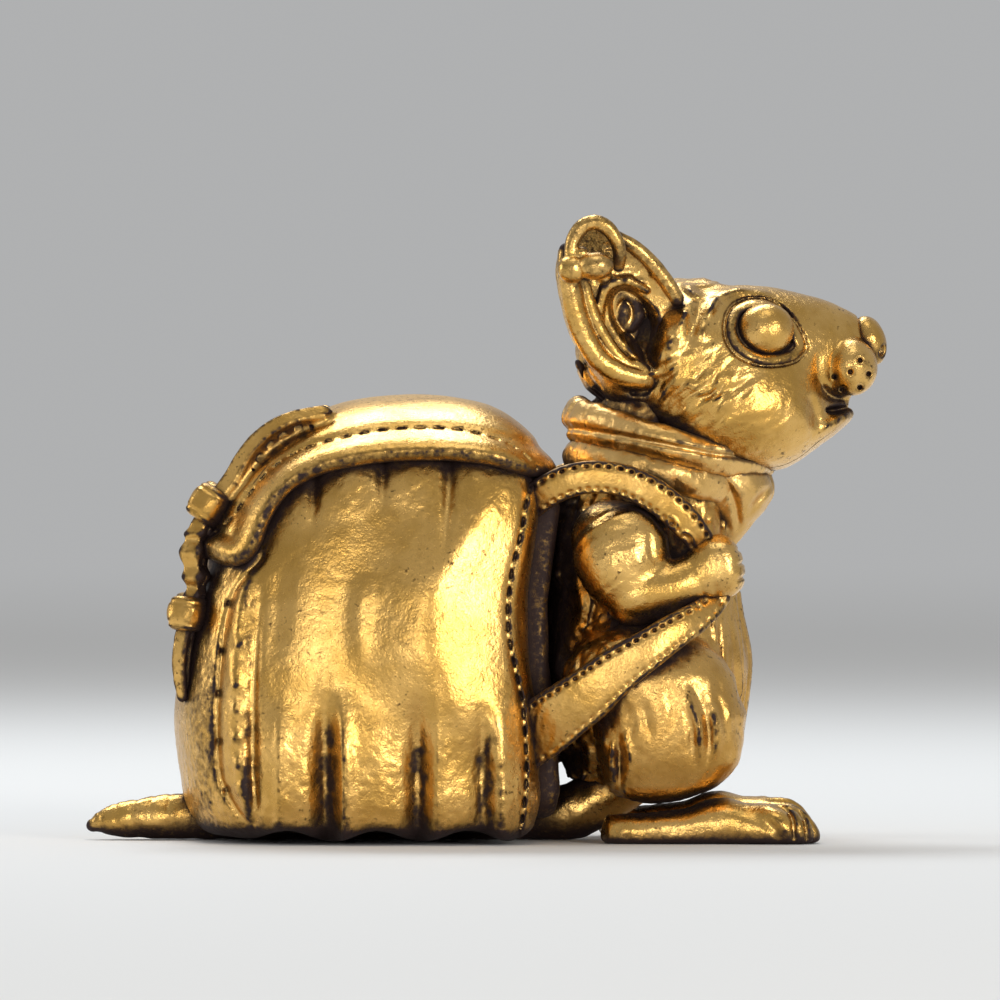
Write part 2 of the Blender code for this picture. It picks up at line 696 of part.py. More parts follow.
def duplicate(piece, name):
    """A copy of the piece with a mesh of its own."""
    copy = bpy.data.objects.new(name, piece.data.copy())
    bpy.context.scene.collection.objects.link(copy)
    return copy


def grown(piece, distance):
    """A copy of the piece with its surface moved out by the distance."""
    mesh = bmesh.new()
    mesh.from_mesh(piece.data)
    mesh.normal_update()
    reach = distance * WORK_SCALE
    moves = [vert.normal * reach * min(vert.calc_shell_factor(), CORNER_REACH) for vert in mesh.verts]
    for vert, move in zip(mesh.verts, moves):
        vert.co += move
    return finished(piece.name + "_grown", mesh)


def let_in(piece, others):
    """Cuts a group of hidden helpers out of the piece in one go."""
    group = bpy.data.collections.new(piece.name + "_neighbours")
    for other in others:
        group.objects.link(other)
    change = piece.modifiers.new("neighbours", "BOOLEAN")
    change.operation = "DIFFERENCE"
    change.operand_type = "COLLECTION"
    change.collection = group


def combined(piece, other, operation):
    """The piece joined with, or kept within, another solid for good."""
    change = piece.modifiers.new(other.name, "BOOLEAN")
    change.operation = operation
    change.object = other
    bpy.context.view_layer.update()
    whole = piece.evaluated_get(bpy.context.evaluated_depsgraph_get())
    shape = bpy.data.meshes.new_from_object(whole)
    piece.modifiers.clear()
    piece.data = shape
    return piece


# What is let into each piece: these neighbours keep their whole shape, and the piece gives way
LET_INTO = {
    "bag_body": ["tail"],
    "bag_flap": ["bag_body"],
    "bag_back_panel": ["bag_body", "bag_flap", "tail"],
    "flap_strap": ["bag_body", "bag_flap"],
    "keeper_upper": ["flap_strap", "bag_flap", "bag_body"],
    "keeper_lower": ["flap_strap", "bag_flap", "bag_body"],
    "shoulder_strap_upper": ["bag_body", "bag_flap", "bag_back_panel", "hand"],
    "shoulder_strap_lower": ["bag_body", "bag_back_panel", "hand", "arm"],
    "torso": [
        "bag_body", "bag_flap", "bag_back_panel", "tail", "head", "scarf_collar", "scarf_wrap",
        "scarf_point", "arm", "hand", "leg", "foot", "shoulder_strap_upper", "shoulder_strap_lower",
    ],
    "tail": ["leg"],
    "leg": ["foot", "shoulder_strap_lower", "bag_body", "arm", "hand"],
    "foot": [],
    "arm": ["hand", "shoulder_strap_upper", "bag_body", "bag_back_panel"],
    "hand": [],
    "scarf_collar": ["head", "bag_flap", "bag_body"],
    "scarf_wrap": ["scarf_collar", "head", "bag_flap", "bag_body", "arm"],
    "scarf_point": ["scarf_collar", "scarf_wrap", "head", "hand"],
    "head": ["lower_jaw", "nose", "whisker_pad", "eye", "eyelid"],
    "lower_jaw": ["whisker_pad"],
    "nose": ["whisker_pad"],
    "eyelid": ["eye"],
    "ear": ["head", "ear_ring"],
}

BRASS = {
    "skin": ((0.80, 0.57, 0.24), 0.28),
    "fur": ((0.70, 0.48, 0.19), 0.38),
    "cloth": ((0.74, 0.52, 0.21), 0.33),
    "bag": ((0.80, 0.58, 0.26), 0.30),
    "strap": ((0.70, 0.50, 0.22), 0.40),
}
FINISH = {
    "torso": "fur", "leg": "fur", "scarf": "cloth", "bag": "bag", "flap": "strap",
    "keeper": "strap", "shoulder": "strap",
}


def kind(name):
    """The name without its side."""
    for word in SIDES:
        if name.endswith("_" + word):
            return name[: -len(word) - 1]
    return name


def neighbours(name, kinds):
    """The pieces of these kinds that can meet the named one: a sided piece meets its own side."""
    side = name.rsplit("_", 1)[-1]
    found = []
    for piece in SHAPES.values():
        if kind(piece.name) not in kinds or piece.name == name:
            continue
        other_side = piece.name.rsplit("_", 1)[-1]
        if side in SIDES and other_side in SIDES and side != other_side:
            continue
        found.append(piece)
    return found


def brass(name):
    colour, roughness = BRASS[FINISH.get(name.split("_")[0], "skin")]
    material = bpy.data.materials.new(name + "_brass")
    material.use_nodes = True
    shader = material.node_tree.nodes["Principled BSDF"]
    shader.inputs["Base Color"].default_value = (*colour, 1)
    shader.inputs["Metallic"].default_value = 1.0
    shader.inputs["Roughness"].default_value = roughness
    return material


def drop_fins(mesh):
    """Removes the stray faces that a cut can leave standing on an edge of the closed skin."""
    fins = [
        face for face in mesh.faces
        if any(edge.is_boundary for edge in face.edges)
        and any(len(edge.link_faces) > 2 for edge in face.edges)
    ]
    bmesh.ops.delete(mesh, geom=fins, context="FACES")


def largest_body(mesh):
    """The mesh without the loose crumbs that a cut leaves beside its main body."""
    bodies, seen = [], set()
    for start in mesh.verts:
        if start in seen:
            continue
        body, stack = [], [start]
        seen.add(start)
        while stack:
            vert = stack.pop()
            body.append(vert)
            for edge in vert.link_edges:
                other = edge.other_vert(vert)
                if other not in seen:
                    seen.add(other)
                    stack.append(other)
        bodies.append(body)
    bodies.sort(key=len)
    crumbs = [vert for body in bodies[:-1] for vert in body]
    bmesh.ops.delete(mesh, geom=crumbs, context="VERTS")


def settled_mesh(piece, graph):
    """The piece's shape with its cuts made for good, about its own middle."""
    data = bpy.data.meshes.new_from_object(piece.evaluated_get(graph))
    mesh = bmesh.new()
    mesh.from_mesh(data)
    bmesh.ops.dissolve_limit(mesh, angle_limit=FLATNESS, verts=mesh.verts, edges=mesh.edges)
    bmesh.ops.triangulate(mesh, faces=mesh.faces)
    bmesh.ops.dissolve_degenerate(mesh, dist=SHORTEST_EDGE, edges=mesh.edges)
    drop_fins(mesh)
    largest_body(mesh)
    bmesh.ops.scale(mesh, verts=mesh.verts, vec=(1 / WORK_SCALE,) * 3)
    corners = [vert.co for vert in mesh.verts]
    middle = Vector([
        (min(c[k] for c in corners) + max(c[k] for c in corners)) / 2 for k in range(3)
    ])
    bmesh.ops.translate(mesh, verts=mesh.verts, vec=-middle)
    mesh.to_mesh(data)
    mesh.free()
    return data, middle


def cut_neighbours_in():
    """Lets every piece into its neighbours with the clearance, and drops the helpers."""
    helpers = {
        name: [grown(solid, GAP) for solid in MADE_OF.get(name, [piece])]
        for name, piece in SHAPES.items()
    }
    for name, piece in SHAPES.items():
        met = neighbours(name, LET_INTO.get(kind(name), []))
        if met:
            let_in(piece, [helper for other in met for helper in helpers[other.name]])
    bpy.context.view_layer.update()
    graph = bpy.context.evaluated_depsgraph_get()
    settled = {name: settled_mesh(piece, graph) for name, piece in SHAPES.items()}
    for name, piece in SHAPES.items():
        piece.modifiers.clear()
        piece.data, piece.location = settled[name]
        piece.data.shade_smooth()
        piece.data.set_sharp_from_angle(angle=CREASE_ANGLE)
        piece.data.materials.clear()
        piece.data.materials.append(brass(name))
    for piece in list(bpy.data.objects):
        if piece.name not in SHAPES:
            bpy.data.objects.remove(piece)


def group_under_empties():
    """Hangs the pieces on two empties, one for the mouse and one for the rucksack."""
    groups = {}
    for word in ("mouse", "rucksack"):
        groups[word] = bpy.data.objects.new(word, None)
        bpy.context.scene.collection.objects.link(groups[word])
    for name, piece in SHAPES.items():
        carried = name.split("_")[0] in ("bag", "flap", "keeper", "shoulder")
        piece.parent = groups["rucksack" if carried else "mouse"]


def make_shapes():
    """Every piece in its whole shape, before its neighbours are let into it."""
    bag = make_bag_body()
    pieces = [
        bag, make_bag_flap(bag), make_back_panel(), make_torso(), make_tail(), make_head(),
        make_lower_jaw(), make_nose(), make_ear_ring(), make_scarf_collar(), make_scarf_wrap(),
        make_scarf_point(),
    ]
    for word, side in SIDES.items():
        pieces += [
            make_leg(word, side), make_foot(word, side), make_arm(word, side),
            make_hand(word, side), make_upper_strap(word, side), make_lower_strap(word, side),
            make_flap_strap(word, side), make_keeper("upper", word, side),
            make_keeper("lower", word, side), make_whisker_pad(word, side), make_eye(word, side),
            make_eyelid(word, side), make_ear(word, side),
        ]
    return {piece.name: piece for piece in pieces}


for leftover in list(bpy.data.objects):
    bpy.data.objects.remove(leftover)
SHAPES = make_shapes()
cut_neighbours_in()
group_under_empties()
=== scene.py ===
"""The dressed model: a small cast brass mouse with a rucksack, its relief cut finely into each piece.

Every piece is a field of distances in millimetres, turned into a mesh. +X runs to the nose, +Z up and
+Y to the mouse's left. A right and a left piece share one field, with y counted outward. In a field d is
the distance to the surface so far, above 0 outside, out is how far a point lies from the middle plane and
swell is how far the relief stands out.
"""

import itertools
import math
from concurrent.futures import ThreadPoolExecutor

import bpy
import numpy as np
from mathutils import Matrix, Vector


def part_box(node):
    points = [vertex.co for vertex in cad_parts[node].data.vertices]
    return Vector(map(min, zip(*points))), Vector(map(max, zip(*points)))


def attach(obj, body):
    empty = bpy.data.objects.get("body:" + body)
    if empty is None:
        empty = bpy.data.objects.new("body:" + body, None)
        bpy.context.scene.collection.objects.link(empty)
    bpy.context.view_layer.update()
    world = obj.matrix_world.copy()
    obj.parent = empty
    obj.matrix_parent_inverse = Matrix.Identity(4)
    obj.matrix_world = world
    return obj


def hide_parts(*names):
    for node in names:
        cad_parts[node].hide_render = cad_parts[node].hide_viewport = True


MM = 0.001
FINE = 1
F32 = np.float32

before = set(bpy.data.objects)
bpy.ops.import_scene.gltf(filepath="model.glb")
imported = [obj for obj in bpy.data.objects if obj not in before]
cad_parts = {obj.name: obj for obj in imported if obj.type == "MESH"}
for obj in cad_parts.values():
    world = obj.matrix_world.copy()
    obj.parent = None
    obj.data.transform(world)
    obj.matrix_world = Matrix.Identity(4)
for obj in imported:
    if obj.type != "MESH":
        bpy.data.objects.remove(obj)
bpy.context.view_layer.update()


# Numbers through smooth curves

def smooth_rows(rows, steps, closed=False):
    """Rows of numbers carried through the given ones on a smooth curve."""
    rows = np.array(rows, float)
    count = len(rows)
    if closed:
        tangents = (np.roll(rows, -1, 0) - np.roll(rows, 1, 0)) / 2
        spans = [(k, (k + 1) % count) for k in range(count)]
    else:
        tangents = np.gradient(rows, axis=0) if count > 2 else np.repeat(rows[1:] - rows[:-1], 2, 0)
        spans = [(k, k + 1) for k in range(count - 1)]
    out = []
    for a, b in spans:
        for t in np.arange(steps) / steps:
            out.append(
                rows[a] * (1 + 2 * t) * (1 - t) ** 2 + rows[b] * t * t * (3 - 2 * t)
                + tangents[a] * t * (1 - t) ** 2 - tangents[b] * t * t * (1 - t)
            )
    out.append(rows[0] if closed else rows[-1])
    return np.array(out)


def monotone(t, values, at):
    """Values at new places, on a smooth curve that doesn't overshoot the given ones."""
    t, values = np.array(t, float), np.array(values, float)
    h = np.diff(t)
    slope = np.diff(values) / h
    tangent = np.zeros(len(t))
    for k in range(1, len(t) - 1):
        if slope[k - 1] * slope[k] > 0:
            w1, w2 = 2 * h[k] + h[k - 1], h[k] + 2 * h[k - 1]
            tangent[k] = (w1 + w2) / (w1 / slope[k - 1] + w2 / slope[k])
    tangent[0], tangent[-1] = slope[0], slope[-1]
    k = np.clip(np.searchsorted(t, at) - 1, 0, len(t) - 2)
    u = (at - t[k]) / h[k]
    return (
        values[k] * (1 + 2 * u) * (1 - u) ** 2 + values[k + 1] * u * u * (3 - 2 * u)
        + h[k] * (tangent[k] * u * (1 - u) ** 2 - tangent[k + 1] * u * u * (1 - u))
    )


def even(rows):
    """Rings of a body with two like sides, from rows of place, low edge, high edge and half width."""
    return [(place, low, high, -half, half) for place, low, high, half in rows]


class Loft:
    """A body over rings along one axis: rows of place, low and high edge one way and the other way."""

    STEPS = 400
    BEND_LIMITS = 0.3, 3

    def __init__(self, rows, power, low_power=None):
        rows = np.array(rows, float)
        t = rows[:, 0]
        half_a = (rows[:, 2] - rows[:, 1]) / 2
        half_b = (rows[:, 4] - rows[:, 3]) / 2
        columns = np.stack([
            (rows[:, 2] + rows[:, 1]) / 2, (rows[:, 4] + rows[:, 3]) / 2, half_b / half_a,
            half_a * half_b,
        ])
        grid = np.linspace(t[0], t[-1], self.STEPS + 1)
        self.start, self.pitch = F32(t[0]), F32(grid[1] - grid[0])
        self.table = np.stack([monotone(t, column, grid) for column in columns]).astype(F32)
        self.power, self.low_power = power, low_power

    def __call__(self, t, a, b):
        """Distance to the body, from the place along it and two places across it."""
        k = (t - self.start) / self.pitch
        i = np.clip(k.astype(np.int32), 0, self.STEPS - 1)
        f = k - i
        near, far = self.table[:, i], self.table[:, i + 1]
        change = far - near
        mid_a, mid_b = near[0] + f * change[0], near[1] + f * change[1]
        # the ring's second half size over its first, and their product
        w = near[2] + np.clip(f, 0, 1) * change[2]
        r2 = near[3] + f * change[3]
        a, b = a - mid_a, b - mid_b
        p = self.power
        if self.low_power is not None:
            p = np.where(a > 0, F32(p), F32(self.low_power))
        pa, pb = np.abs(a), np.abs(b)
        wp = w ** (p / 2)
        qa, qb = pa ** (p - 1) * wp, pb ** (p - 1) / wp
        total = qa * pa + qb * pb + F32(1e-9)
        force = total ** (2 / p)
        scale = 2 * force / total
        ga, gb = scale * qa * np.sign(a), scale * qb * np.sign(b)
        value = force - r2
        gt = -(change[3] + change[0] * ga + change[1] * gb) / self.pitch
        g2 = (ga * ga + gb * gb + gt * gt) / 4
        bend = np.clip((w * ga * ga + gb * gb / w) / (4 * g2 + F32(1e-6)), *self.BEND_LIMITS)
        return value / (np.sqrt(g2) + np.sqrt(np.maximum(g2 - value * bend, 0)) + F32(1e-3))


class Line:
    """A smooth line through points, with more numbers carried along it."""

    def __init__(self, rows, dims, steps=4, closed=False, reach=2):
        rows = smooth_rows(rows, steps, closed)
        self.points, self.extra = rows[:, :dims].astype(F32), rows[:, dims:].astype(F32)
        self.reach = F32(reach)
        self.low, self.high = self.points.min(0) - reach, self.points.max(0) + reach
        ends = np.diff(self.points, axis=0)
        self.lengths = np.sqrt((ends ** 2).sum(1))
        self.starts = np.concatenate([[0], np.cumsum(self.lengths)]).astype(F32)

    def near(self, *place):
        """Distance to the line, place along it, side of it and the carried numbers, for near points."""
        size = place[0].shape
        inside = np.ones(size, bool)
        for axis, values in enumerate(place):
            inside &= (values > self.low[axis]) & (values < self.high[axis])
        rows = np.flatnonzero(inside)
        at = [values.reshape(-1)[rows] for values in place]
        best = np.full(len(rows), self.reach ** 2, F32)
        along, side = np.zeros(len(rows), F32), np.zeros(len(rows), F32)
        carried = [np.full(len(rows), column[0], F32) for column in self.extra.T]
        for k in range(len(self.points) - 1):
            start, end = self.points[k], self.points[k + 1]
            run = end - start
            length2 = F32(max(float((run ** 2).sum()), 1e-12))
            offset = [values - first for values, first in zip(at, start)]
            t = np.clip(sum(values * part for values, part in zip(offset, run)) / length2, 0, 1)
            gap = [values - t * part for values, part in zip(offset, run)]
            d2 = sum(values * values for values in gap)
            better = np.flatnonzero(d2 < best)
            best[better] = d2[better]
            tb = t[better]
            along[better] = self.starts[k] + tb * self.lengths[k]
            if len(at) == 2:
                side[better] = gap[0][better] * run[1] - gap[1][better] * run[0]
            for column, values in zip(self.extra.T, carried):
                values[better] = column[k] + tb * (column[k + 1] - column[k])

        def spread(values, fill):
            full = np.full(inside.size, fill, F32)
            full[rows] = values
            return full.reshape(size)

        result = [spread(np.sqrt(best), self.reach), spread(along, -1), spread(np.sign(side), 0)]
        return result + [spread(v, 0) for v in carried]


class Relief:
    """Ridges and creases in the side view, as lines of x, z, height and width: creases are below 0."""

    STEPS = 3
    REACH_IN_WIDTHS = 2.5

    def __init__(self, *lines):
        self.lines = [
            Line(rows, 2, self.STEPS, reach=self.REACH_IN_WIDTHS * max(row[3] for row in rows))
            for rows in lines
        ]

    def __call__(self, x, z):
        total = np.zeros_like(x)
        for line in self.lines:
            gap, _, _, height, width = line.near(x, z)
            total += np.where(gap < line.reach, height * bump(gap, np.maximum(width, 0.02)), 0)
        return total


def smin(a, b, k):
    """Two bodies joined with a soft fillet."""
    h = np.clip(0.5 + 0.5 * (b - a) / k, 0, 1)
    return b + (a - b) * h - k * h * (1 - h)


def smax(a, b, k):
    """What two bodies share, with a soft edge."""
    return -smin(-a, -b, k)


def grown(d, base, fillet, reach, edge):
    """A body drawn softly into the one it grows from, by no more than a reach."""
    return smax(smin(d, base, fillet), d - reach, edge)


def bump(d, width):
    """1 on a line and 0 well away from it, by the distance from the line."""
    return np.exp(-(d / width) ** 2)


def step(a, b, x):
    """A smooth rise from 0 at a to 1 at b."""
    t = np.clip((x - a) / (b - a), 0, 1)
    return t * t * (3 - 2 * t)


def turned(x, z, angle):
    """Distances along a direction in the side view and across it."""
    c, s = math.cos(angle), math.sin(angle)
    return x * c + z * s, z * c - x * s


def rounded(offsets, half):
    """Distance to a round body, from the offsets to its middle and its half sizes."""
    share = np.sqrt(sum((value / size) ** 2 for value, size in zip(offsets, half))) + F32(1e-4)
    slope = np.sqrt(sum((value / size ** 2) ** 2 for value, size in zip(offsets, half))) + F32(1e-4)
    return share * (share - 1) / slope


def egg(x, y, z, centre, half, lean=0):
    """Distance to an ellipsoid, leant forward by an angle about Y."""
    x, y, z = x - centre[0], y - centre[1], z - centre[2]
    if lean:
        x, z = turned(x, z, lean)
    return rounded((x, y, z), half)


def band(past_edge, past_face, corner):
    """Distance to a flat band with round corners, from how far a point lies past its edge and its face."""
    inner = np.minimum(np.maximum(past_edge, past_face), 0)
    return inner + np.hypot(np.maximum(past_edge, 0), np.maximum(past_face, 0)) - corner


def tube(x, y, z, rows, steps):
    """Distance to a round body along rows of x, y, z and radius."""
    line = Line(rows, 3, steps, reach=7)
    gap, _, _, radius = line.near(x, y, z)
    return gap - radius


PRIMES, SEED_STEP, MIXER = (73856093, 19349663, 83492791), 2654435, 1274126177


def noise(x, y, z, size, seed):
    """Smooth random values from -1 to 1, with lumps of the given size."""
    sizes = (size,) * 3 if np.isscalar(size) else size
    cells, parts = [], []
    for values, one in zip((x, y, z), sizes):
        scaled = values / F32(one) + F32(1000)
        whole = np.floor(scaled)
        part = scaled - whole
        cells.append(whole.astype(np.int64))
        parts.append(part * part * (3 - 2 * part))
    total = 0
    for corner in itertools.product((0, 1), repeat=3):
        wx, wy, wz = (part if ahead else 1 - part for part, ahead in zip(parts, corner))
        a, b, c = ((cell + ahead) * prime for cell, ahead, prime in zip(cells, corner, PRIMES))
        h = a ^ b ^ (c + seed * SEED_STEP)
        h = (h ^ (h >> 13)) * MIXER
        h = (h ^ (h >> 16)) & 0xFFFF
        total = total + wx * wy * wz * h.astype(F32)
    return total / F32(0xFFFF / 2) - 1


def strokes(x, y, z, angle, width, length, seed):
    """Random ridges in the side view that run along an angle, as tooled fur does."""
    along, across = turned(x, z, angle)
    sway = noise(along, y, across, 1.4, seed + 5) * width * 1.2
    return noise(along, across + sway, y, (length, width, length), seed)


# From a field to a mesh

# cells along a block, blocks worked on at once, and how many blocks away the surface still counts as near
BLOCK, BATCH, NEAR_SHARE = 4, 4000, 1.05
# a settling point's reach and longest move in cells, and the least squared slope that counts
SLOPE_REACH, LONGEST_MOVE, LEAST_SLOPE = 0.25, 0.6, 0.05
# widths in mm over which a point's surroundings are averaged
HOLLOW_WIDTHS = (0.16, 0.45)


def lattice(count):
    """The whole-number places in a cube."""
    ticks = np.arange(count)
    return np.stack(np.meshgrid(ticks, ticks, ticks, indexing="ij"), -1).reshape(-1, 3)


CORNERS = lattice(2)
EDGES = [(a, b) for a in range(8) for b in range(a + 1, 8) if np.abs(CORNERS[a] - CORNERS[b]).sum() == 1]
AXES = [(0, 1, 2), (1, 2, 0), (2, 0, 1)]
NEXT_CORNER = (4, 2, 1)


def near_blocks(field, low, high, coarse):
    """The blocks of cells that the surface may pass through, and how many blocks there are each way."""
    count = np.ceil((np.array(high, float) - low) / coarse).astype(int) + 1
    axes = [low[k] + coarse * np.arange(count[k] + 1) for k in range(3)]
    grid = np.meshgrid(*axes, indexing="ij")
    rough = field(*[g.astype(F32).reshape(-1) for g in grid]).reshape(grid[0].shape)
    near = np.full(tuple(count), np.inf, F32)
    outside = np.zeros(tuple(count), bool)
    inside = np.zeros(tuple(count), bool)
    for i, j, k in CORNERS:
        part = rough[i:i + count[0], j:j + count[1], k:k + count[2]]
        near = np.minimum(near, np.abs(part))
        outside |= part > 0
        inside |= part <= 0
    return np.argwhere((near < coarse * NEAR_SHARE) | (outside & inside)), count


def crossed_cells(field, low, cell, blocks):
    """The cells that the surface passes through, a point in each, and which of its corners are inside."""
    points = (low + (blocks[:, None, :] + lattice(BLOCK + 1)[None]) * cell).astype(F32)
    value = field(*(points[..., axis].reshape(-1) for axis in range(3)))
    value = value.reshape(-1, BLOCK + 1, BLOCK + 1, BLOCK + 1)
    corner = np.stack([
        value[:, i:i + BLOCK, j:j + BLOCK, k:k + BLOCK] for i, j, k in CORNERS
    ], -1).reshape(-1, 8)
    inside = corner < 0
    active = inside.any(1) & ~inside.all(1)
    cells = (blocks[:, None, :] + lattice(BLOCK)[None]).reshape(-1, 3)[active]
    corner, inside = corner[active], inside[active]
    total, weight = np.zeros((len(cells), 3)), np.zeros(len(cells))
    for a, b in EDGES:
        cross = inside[:, a] != inside[:, b]
        t = corner[:, a] / (corner[:, a] - corner[:, b] + 1e-12)
        spot = CORNERS[a] + np.clip(t, 0, 1)[:, None] * (CORNERS[b] - CORNERS[a])
        total += spot * cross[:, None]
        weight += cross
    return cells, low + (cells + total / weight[:, None]) * cell, inside


def faces_between(cells, inside, size):
    """Four-sided faces, each round a grid line that the surface cuts, turned outward."""
    key = (cells[:, 0] * size[1] + cells[:, 1]) * size[2] + cells[:, 2]
    order = np.argsort(key)
    sorted_key = key[order]

    def find(wanted):
        wanted_key = (wanted[:, 0] * size[1] + wanted[:, 1]) * size[2] + wanted[:, 2]
        spot = np.clip(np.searchsorted(sorted_key, wanted_key), 0, len(sorted_key) - 1)
        return order[spot], sorted_key[spot] == wanted_key

    faces = []
    for main, second, third in AXES:
        crossing = inside[:, 0] != inside[:, NEXT_CORNER[main]]
        base = cells[crossing]
        back_two, back_three = np.zeros(3, int), np.zeros(3, int)
        back_two[second], back_three[third] = -1, -1
        ring = [find(base + shift) for shift in (0, back_two, back_two + back_three, back_three)]
        complete = np.logical_and.reduce([ok for _, ok in ring])
        quad = np.stack([index for index, _ in ring], 1)[complete]
        flip = ~inside[crossing][complete][:, 0]
        quad[flip] = quad[flip][:, ::-1]
        faces.append(quad)
    return np.concatenate(faces)[:, ::-1]


def mesh_of(field, low, high, cell):
    """Points and four-sided faces of the field's zero surface, found on a sparse grid of cells."""
    low = np.array(low, float)
    kept, count = near_blocks(field, low, high, cell * BLOCK)
    parts = [
        crossed_cells(field, low, cell, kept[first:first + BATCH] * BLOCK)
        for first in range(0, len(kept), BATCH)
    ]
    cells, points, inside = (np.concatenate(part) for part in zip(*parts))
    return points, faces_between(cells, inside, (count + 2) * BLOCK)


def gradient(field, points, reach):
    """The field's value and its slopes at the points."""
    p = points.astype(F32)
    value = field(*p.T)
    slopes = []
    for axis in range(3):
        ahead, behind = p.copy(), p.copy()
        ahead[:, axis] += F32(reach)
        behind[:, axis] -= F32(reach)
        slopes.append((field(*ahead.T) - field(*behind.T)) / (2 * reach))
    return value, np.stack(slopes, 1)


def settle(field, points, cell):
    """Moves the points onto the field's surface, by a little over half a cell at most."""
    value, slope = gradient(field, points, cell * SLOPE_REACH)
    size2 = np.maximum((slope ** 2).sum(1), LEAST_SLOPE)
    move = -(value / size2)[:, None] * slope
    length = np.sqrt((move ** 2).sum(1)) + 1e-9
    move *= np.minimum(1, cell * LONGEST_MOVE / length)[:, None]
    return points + move


def averaged(points, edges, rounds):
    """The points after each has moved to the mean of its neighbours a number of times."""
    count = len(points)
    a = np.concatenate([edges[:, 0], edges[:, 1]])
    b = np.concatenate([edges[:, 1], edges[:, 0]])
    degree = np.maximum(np.bincount(a, minlength=count), 1)
    for _ in range(rounds):
        points = np.stack([
            np.bincount(a, weights=points[b, axis], minlength=count) / degree for axis in range(3)
        ], 1)
    return points


def hollows(points, faces, cell):
    """How deep each point lies below its surroundings, near and wide, in millimetres."""
    edges = np.concatenate([faces[:, [0, 1]], faces[:, [1, 2]], faces[:, [2, 3]], faces[:, [3, 0]]])
    edges = np.unique(np.sort(edges, 1), axis=0)
    one, two = points[faces[:, 2]] - points[faces[:, 0]], points[faces[:, 3]] - points[faces[:, 1]]
    face_normal = np.cross(one, two)
    normal = np.zeros_like(points)
    for corner in range(4):
        for axis in range(3):
            normal[:, axis] += np.bincount(
                faces[:, corner], weights=face_normal[:, axis], minlength=len(points))
    normal /= np.linalg.norm(normal, axis=1)[:, None] + 1e-12
    rounds = [max(1, int(round((width / cell) ** 2 * 0.6))) for width in HOLLOW_WIDTHS]
    near = averaged(points, edges, rounds[0])
    wide = averaged(near, edges, rounds[1])
    return ((near - points) * normal).sum(1), ((wide - points) * normal).sum(1)


def build(job):
    """The numbers of one piece's mesh."""
    field, low, high, cell = job
    points, faces = mesh_of(field, low, high, cell)
    for _ in range(2):
        points = settle(field, points, cell)
    return points, faces, *hollows(points, faces, cell)


def add_object(name, data):
    """A new object in the scene."""
    made = bpy.data.objects.new(name, data)
    bpy.context.scene.collection.objects.link(made)
    return made


def make_object(name, points, faces, near, wide, mirrored):
    """A smooth object with its hollows as attributes, which the brass reads; on some pieces the wide hollow
    also carries painted shade.
    """
    if mirrored:
        points = points * (1, -1, 1)
        faces = faces[:, ::-1]
    mesh = bpy.data.meshes.new(name)
    mesh.vertices.add(len(points))
    mesh.vertices.foreach_set("co", (points * MM).astype(F32).reshape(-1))
    mesh.loops.add(faces.size)
    mesh.loops.foreach_set("vertex_index", faces.astype(np.int32).reshape(-1))
    mesh.polygons.add(len(faces))
    mesh.polygons.foreach_set("loop_start", np.arange(0, faces.size, 4, dtype=np.int32))
    mesh.polygons.foreach_set("use_smooth", np.ones(len(faces), bool))
    mesh.update(calc_edges=True)
    for word, values in (("near_hollow", near), ("wide_hollow_and_shade", wide)):
        attribute = mesh.attributes.new(word, "FLOAT", "POINT")
        attribute.data.foreach_set("value", values.astype(F32))
    return add_object(name, mesh)


# Rucksack

BAG = Loft(even([
    (0, -13.9, 1.65, 8.6), (0.9, -15.2, 2.4, 9.4), (2.7, -16, 2.8, 9.85), (6.3, -16.4, 2.6, 10),
    (9.4, -16.1, 2.2, 9.9), (12.6, -15.4, 2.15, 9.6), (15.3, -14.6, 2.5, 9.2), (17.5, -13.6, 2.8, 8.7),
    (19.4, -12.2, 2.5, 7.9), (20.9, -10.35, 1.45, 6.7), (21.9, -8.3, -0.1, 5.2), (22.45, -6.4, -2.3, 3.2),
]), power=7, low_power=2.8)

FRONT_STITCH = Line([
    (2.5, 20.9), (2.45, 20), (2.4, 19.3), (2.25, 18.5), (2, 17.5), (1.85, 16.4), (1.6, 15.4),
    (1.35, 14.4), (1.2, 13.3), (1.12, 12.3), (1.15, 11.2), (1.3, 10.2), (1.5, 9.2), (1.75, 8.1),
    (1.92, 7.1), (2, 6), (2.08, 4.5), (2.08, 3.4), (2, 2.4), (1.85, 1.2),
], 2, 2)
REAR_SEAM = [
    (-11.7, 15.4, 0, 0.2), (-11.75, 14.9, -0.2, 0.2), (-12.5, 14.1, -0.25, 0.2),
    (-13.1, 13.2, -0.25, 0.2), (-13.6, 11.5, -0.25, 0.2), (-13.9, 8.6, -0.25, 0.2),
    (-14, 6.5, -0.25, 0.2), (-13.95, 4.4, -0.25, 0.2), (-13.7, 3.1, -0.25, 0.2),
    (-12.9, 1.7, -0.25, 0.2), (-12.2, 0.9, 0, 0.2),
]
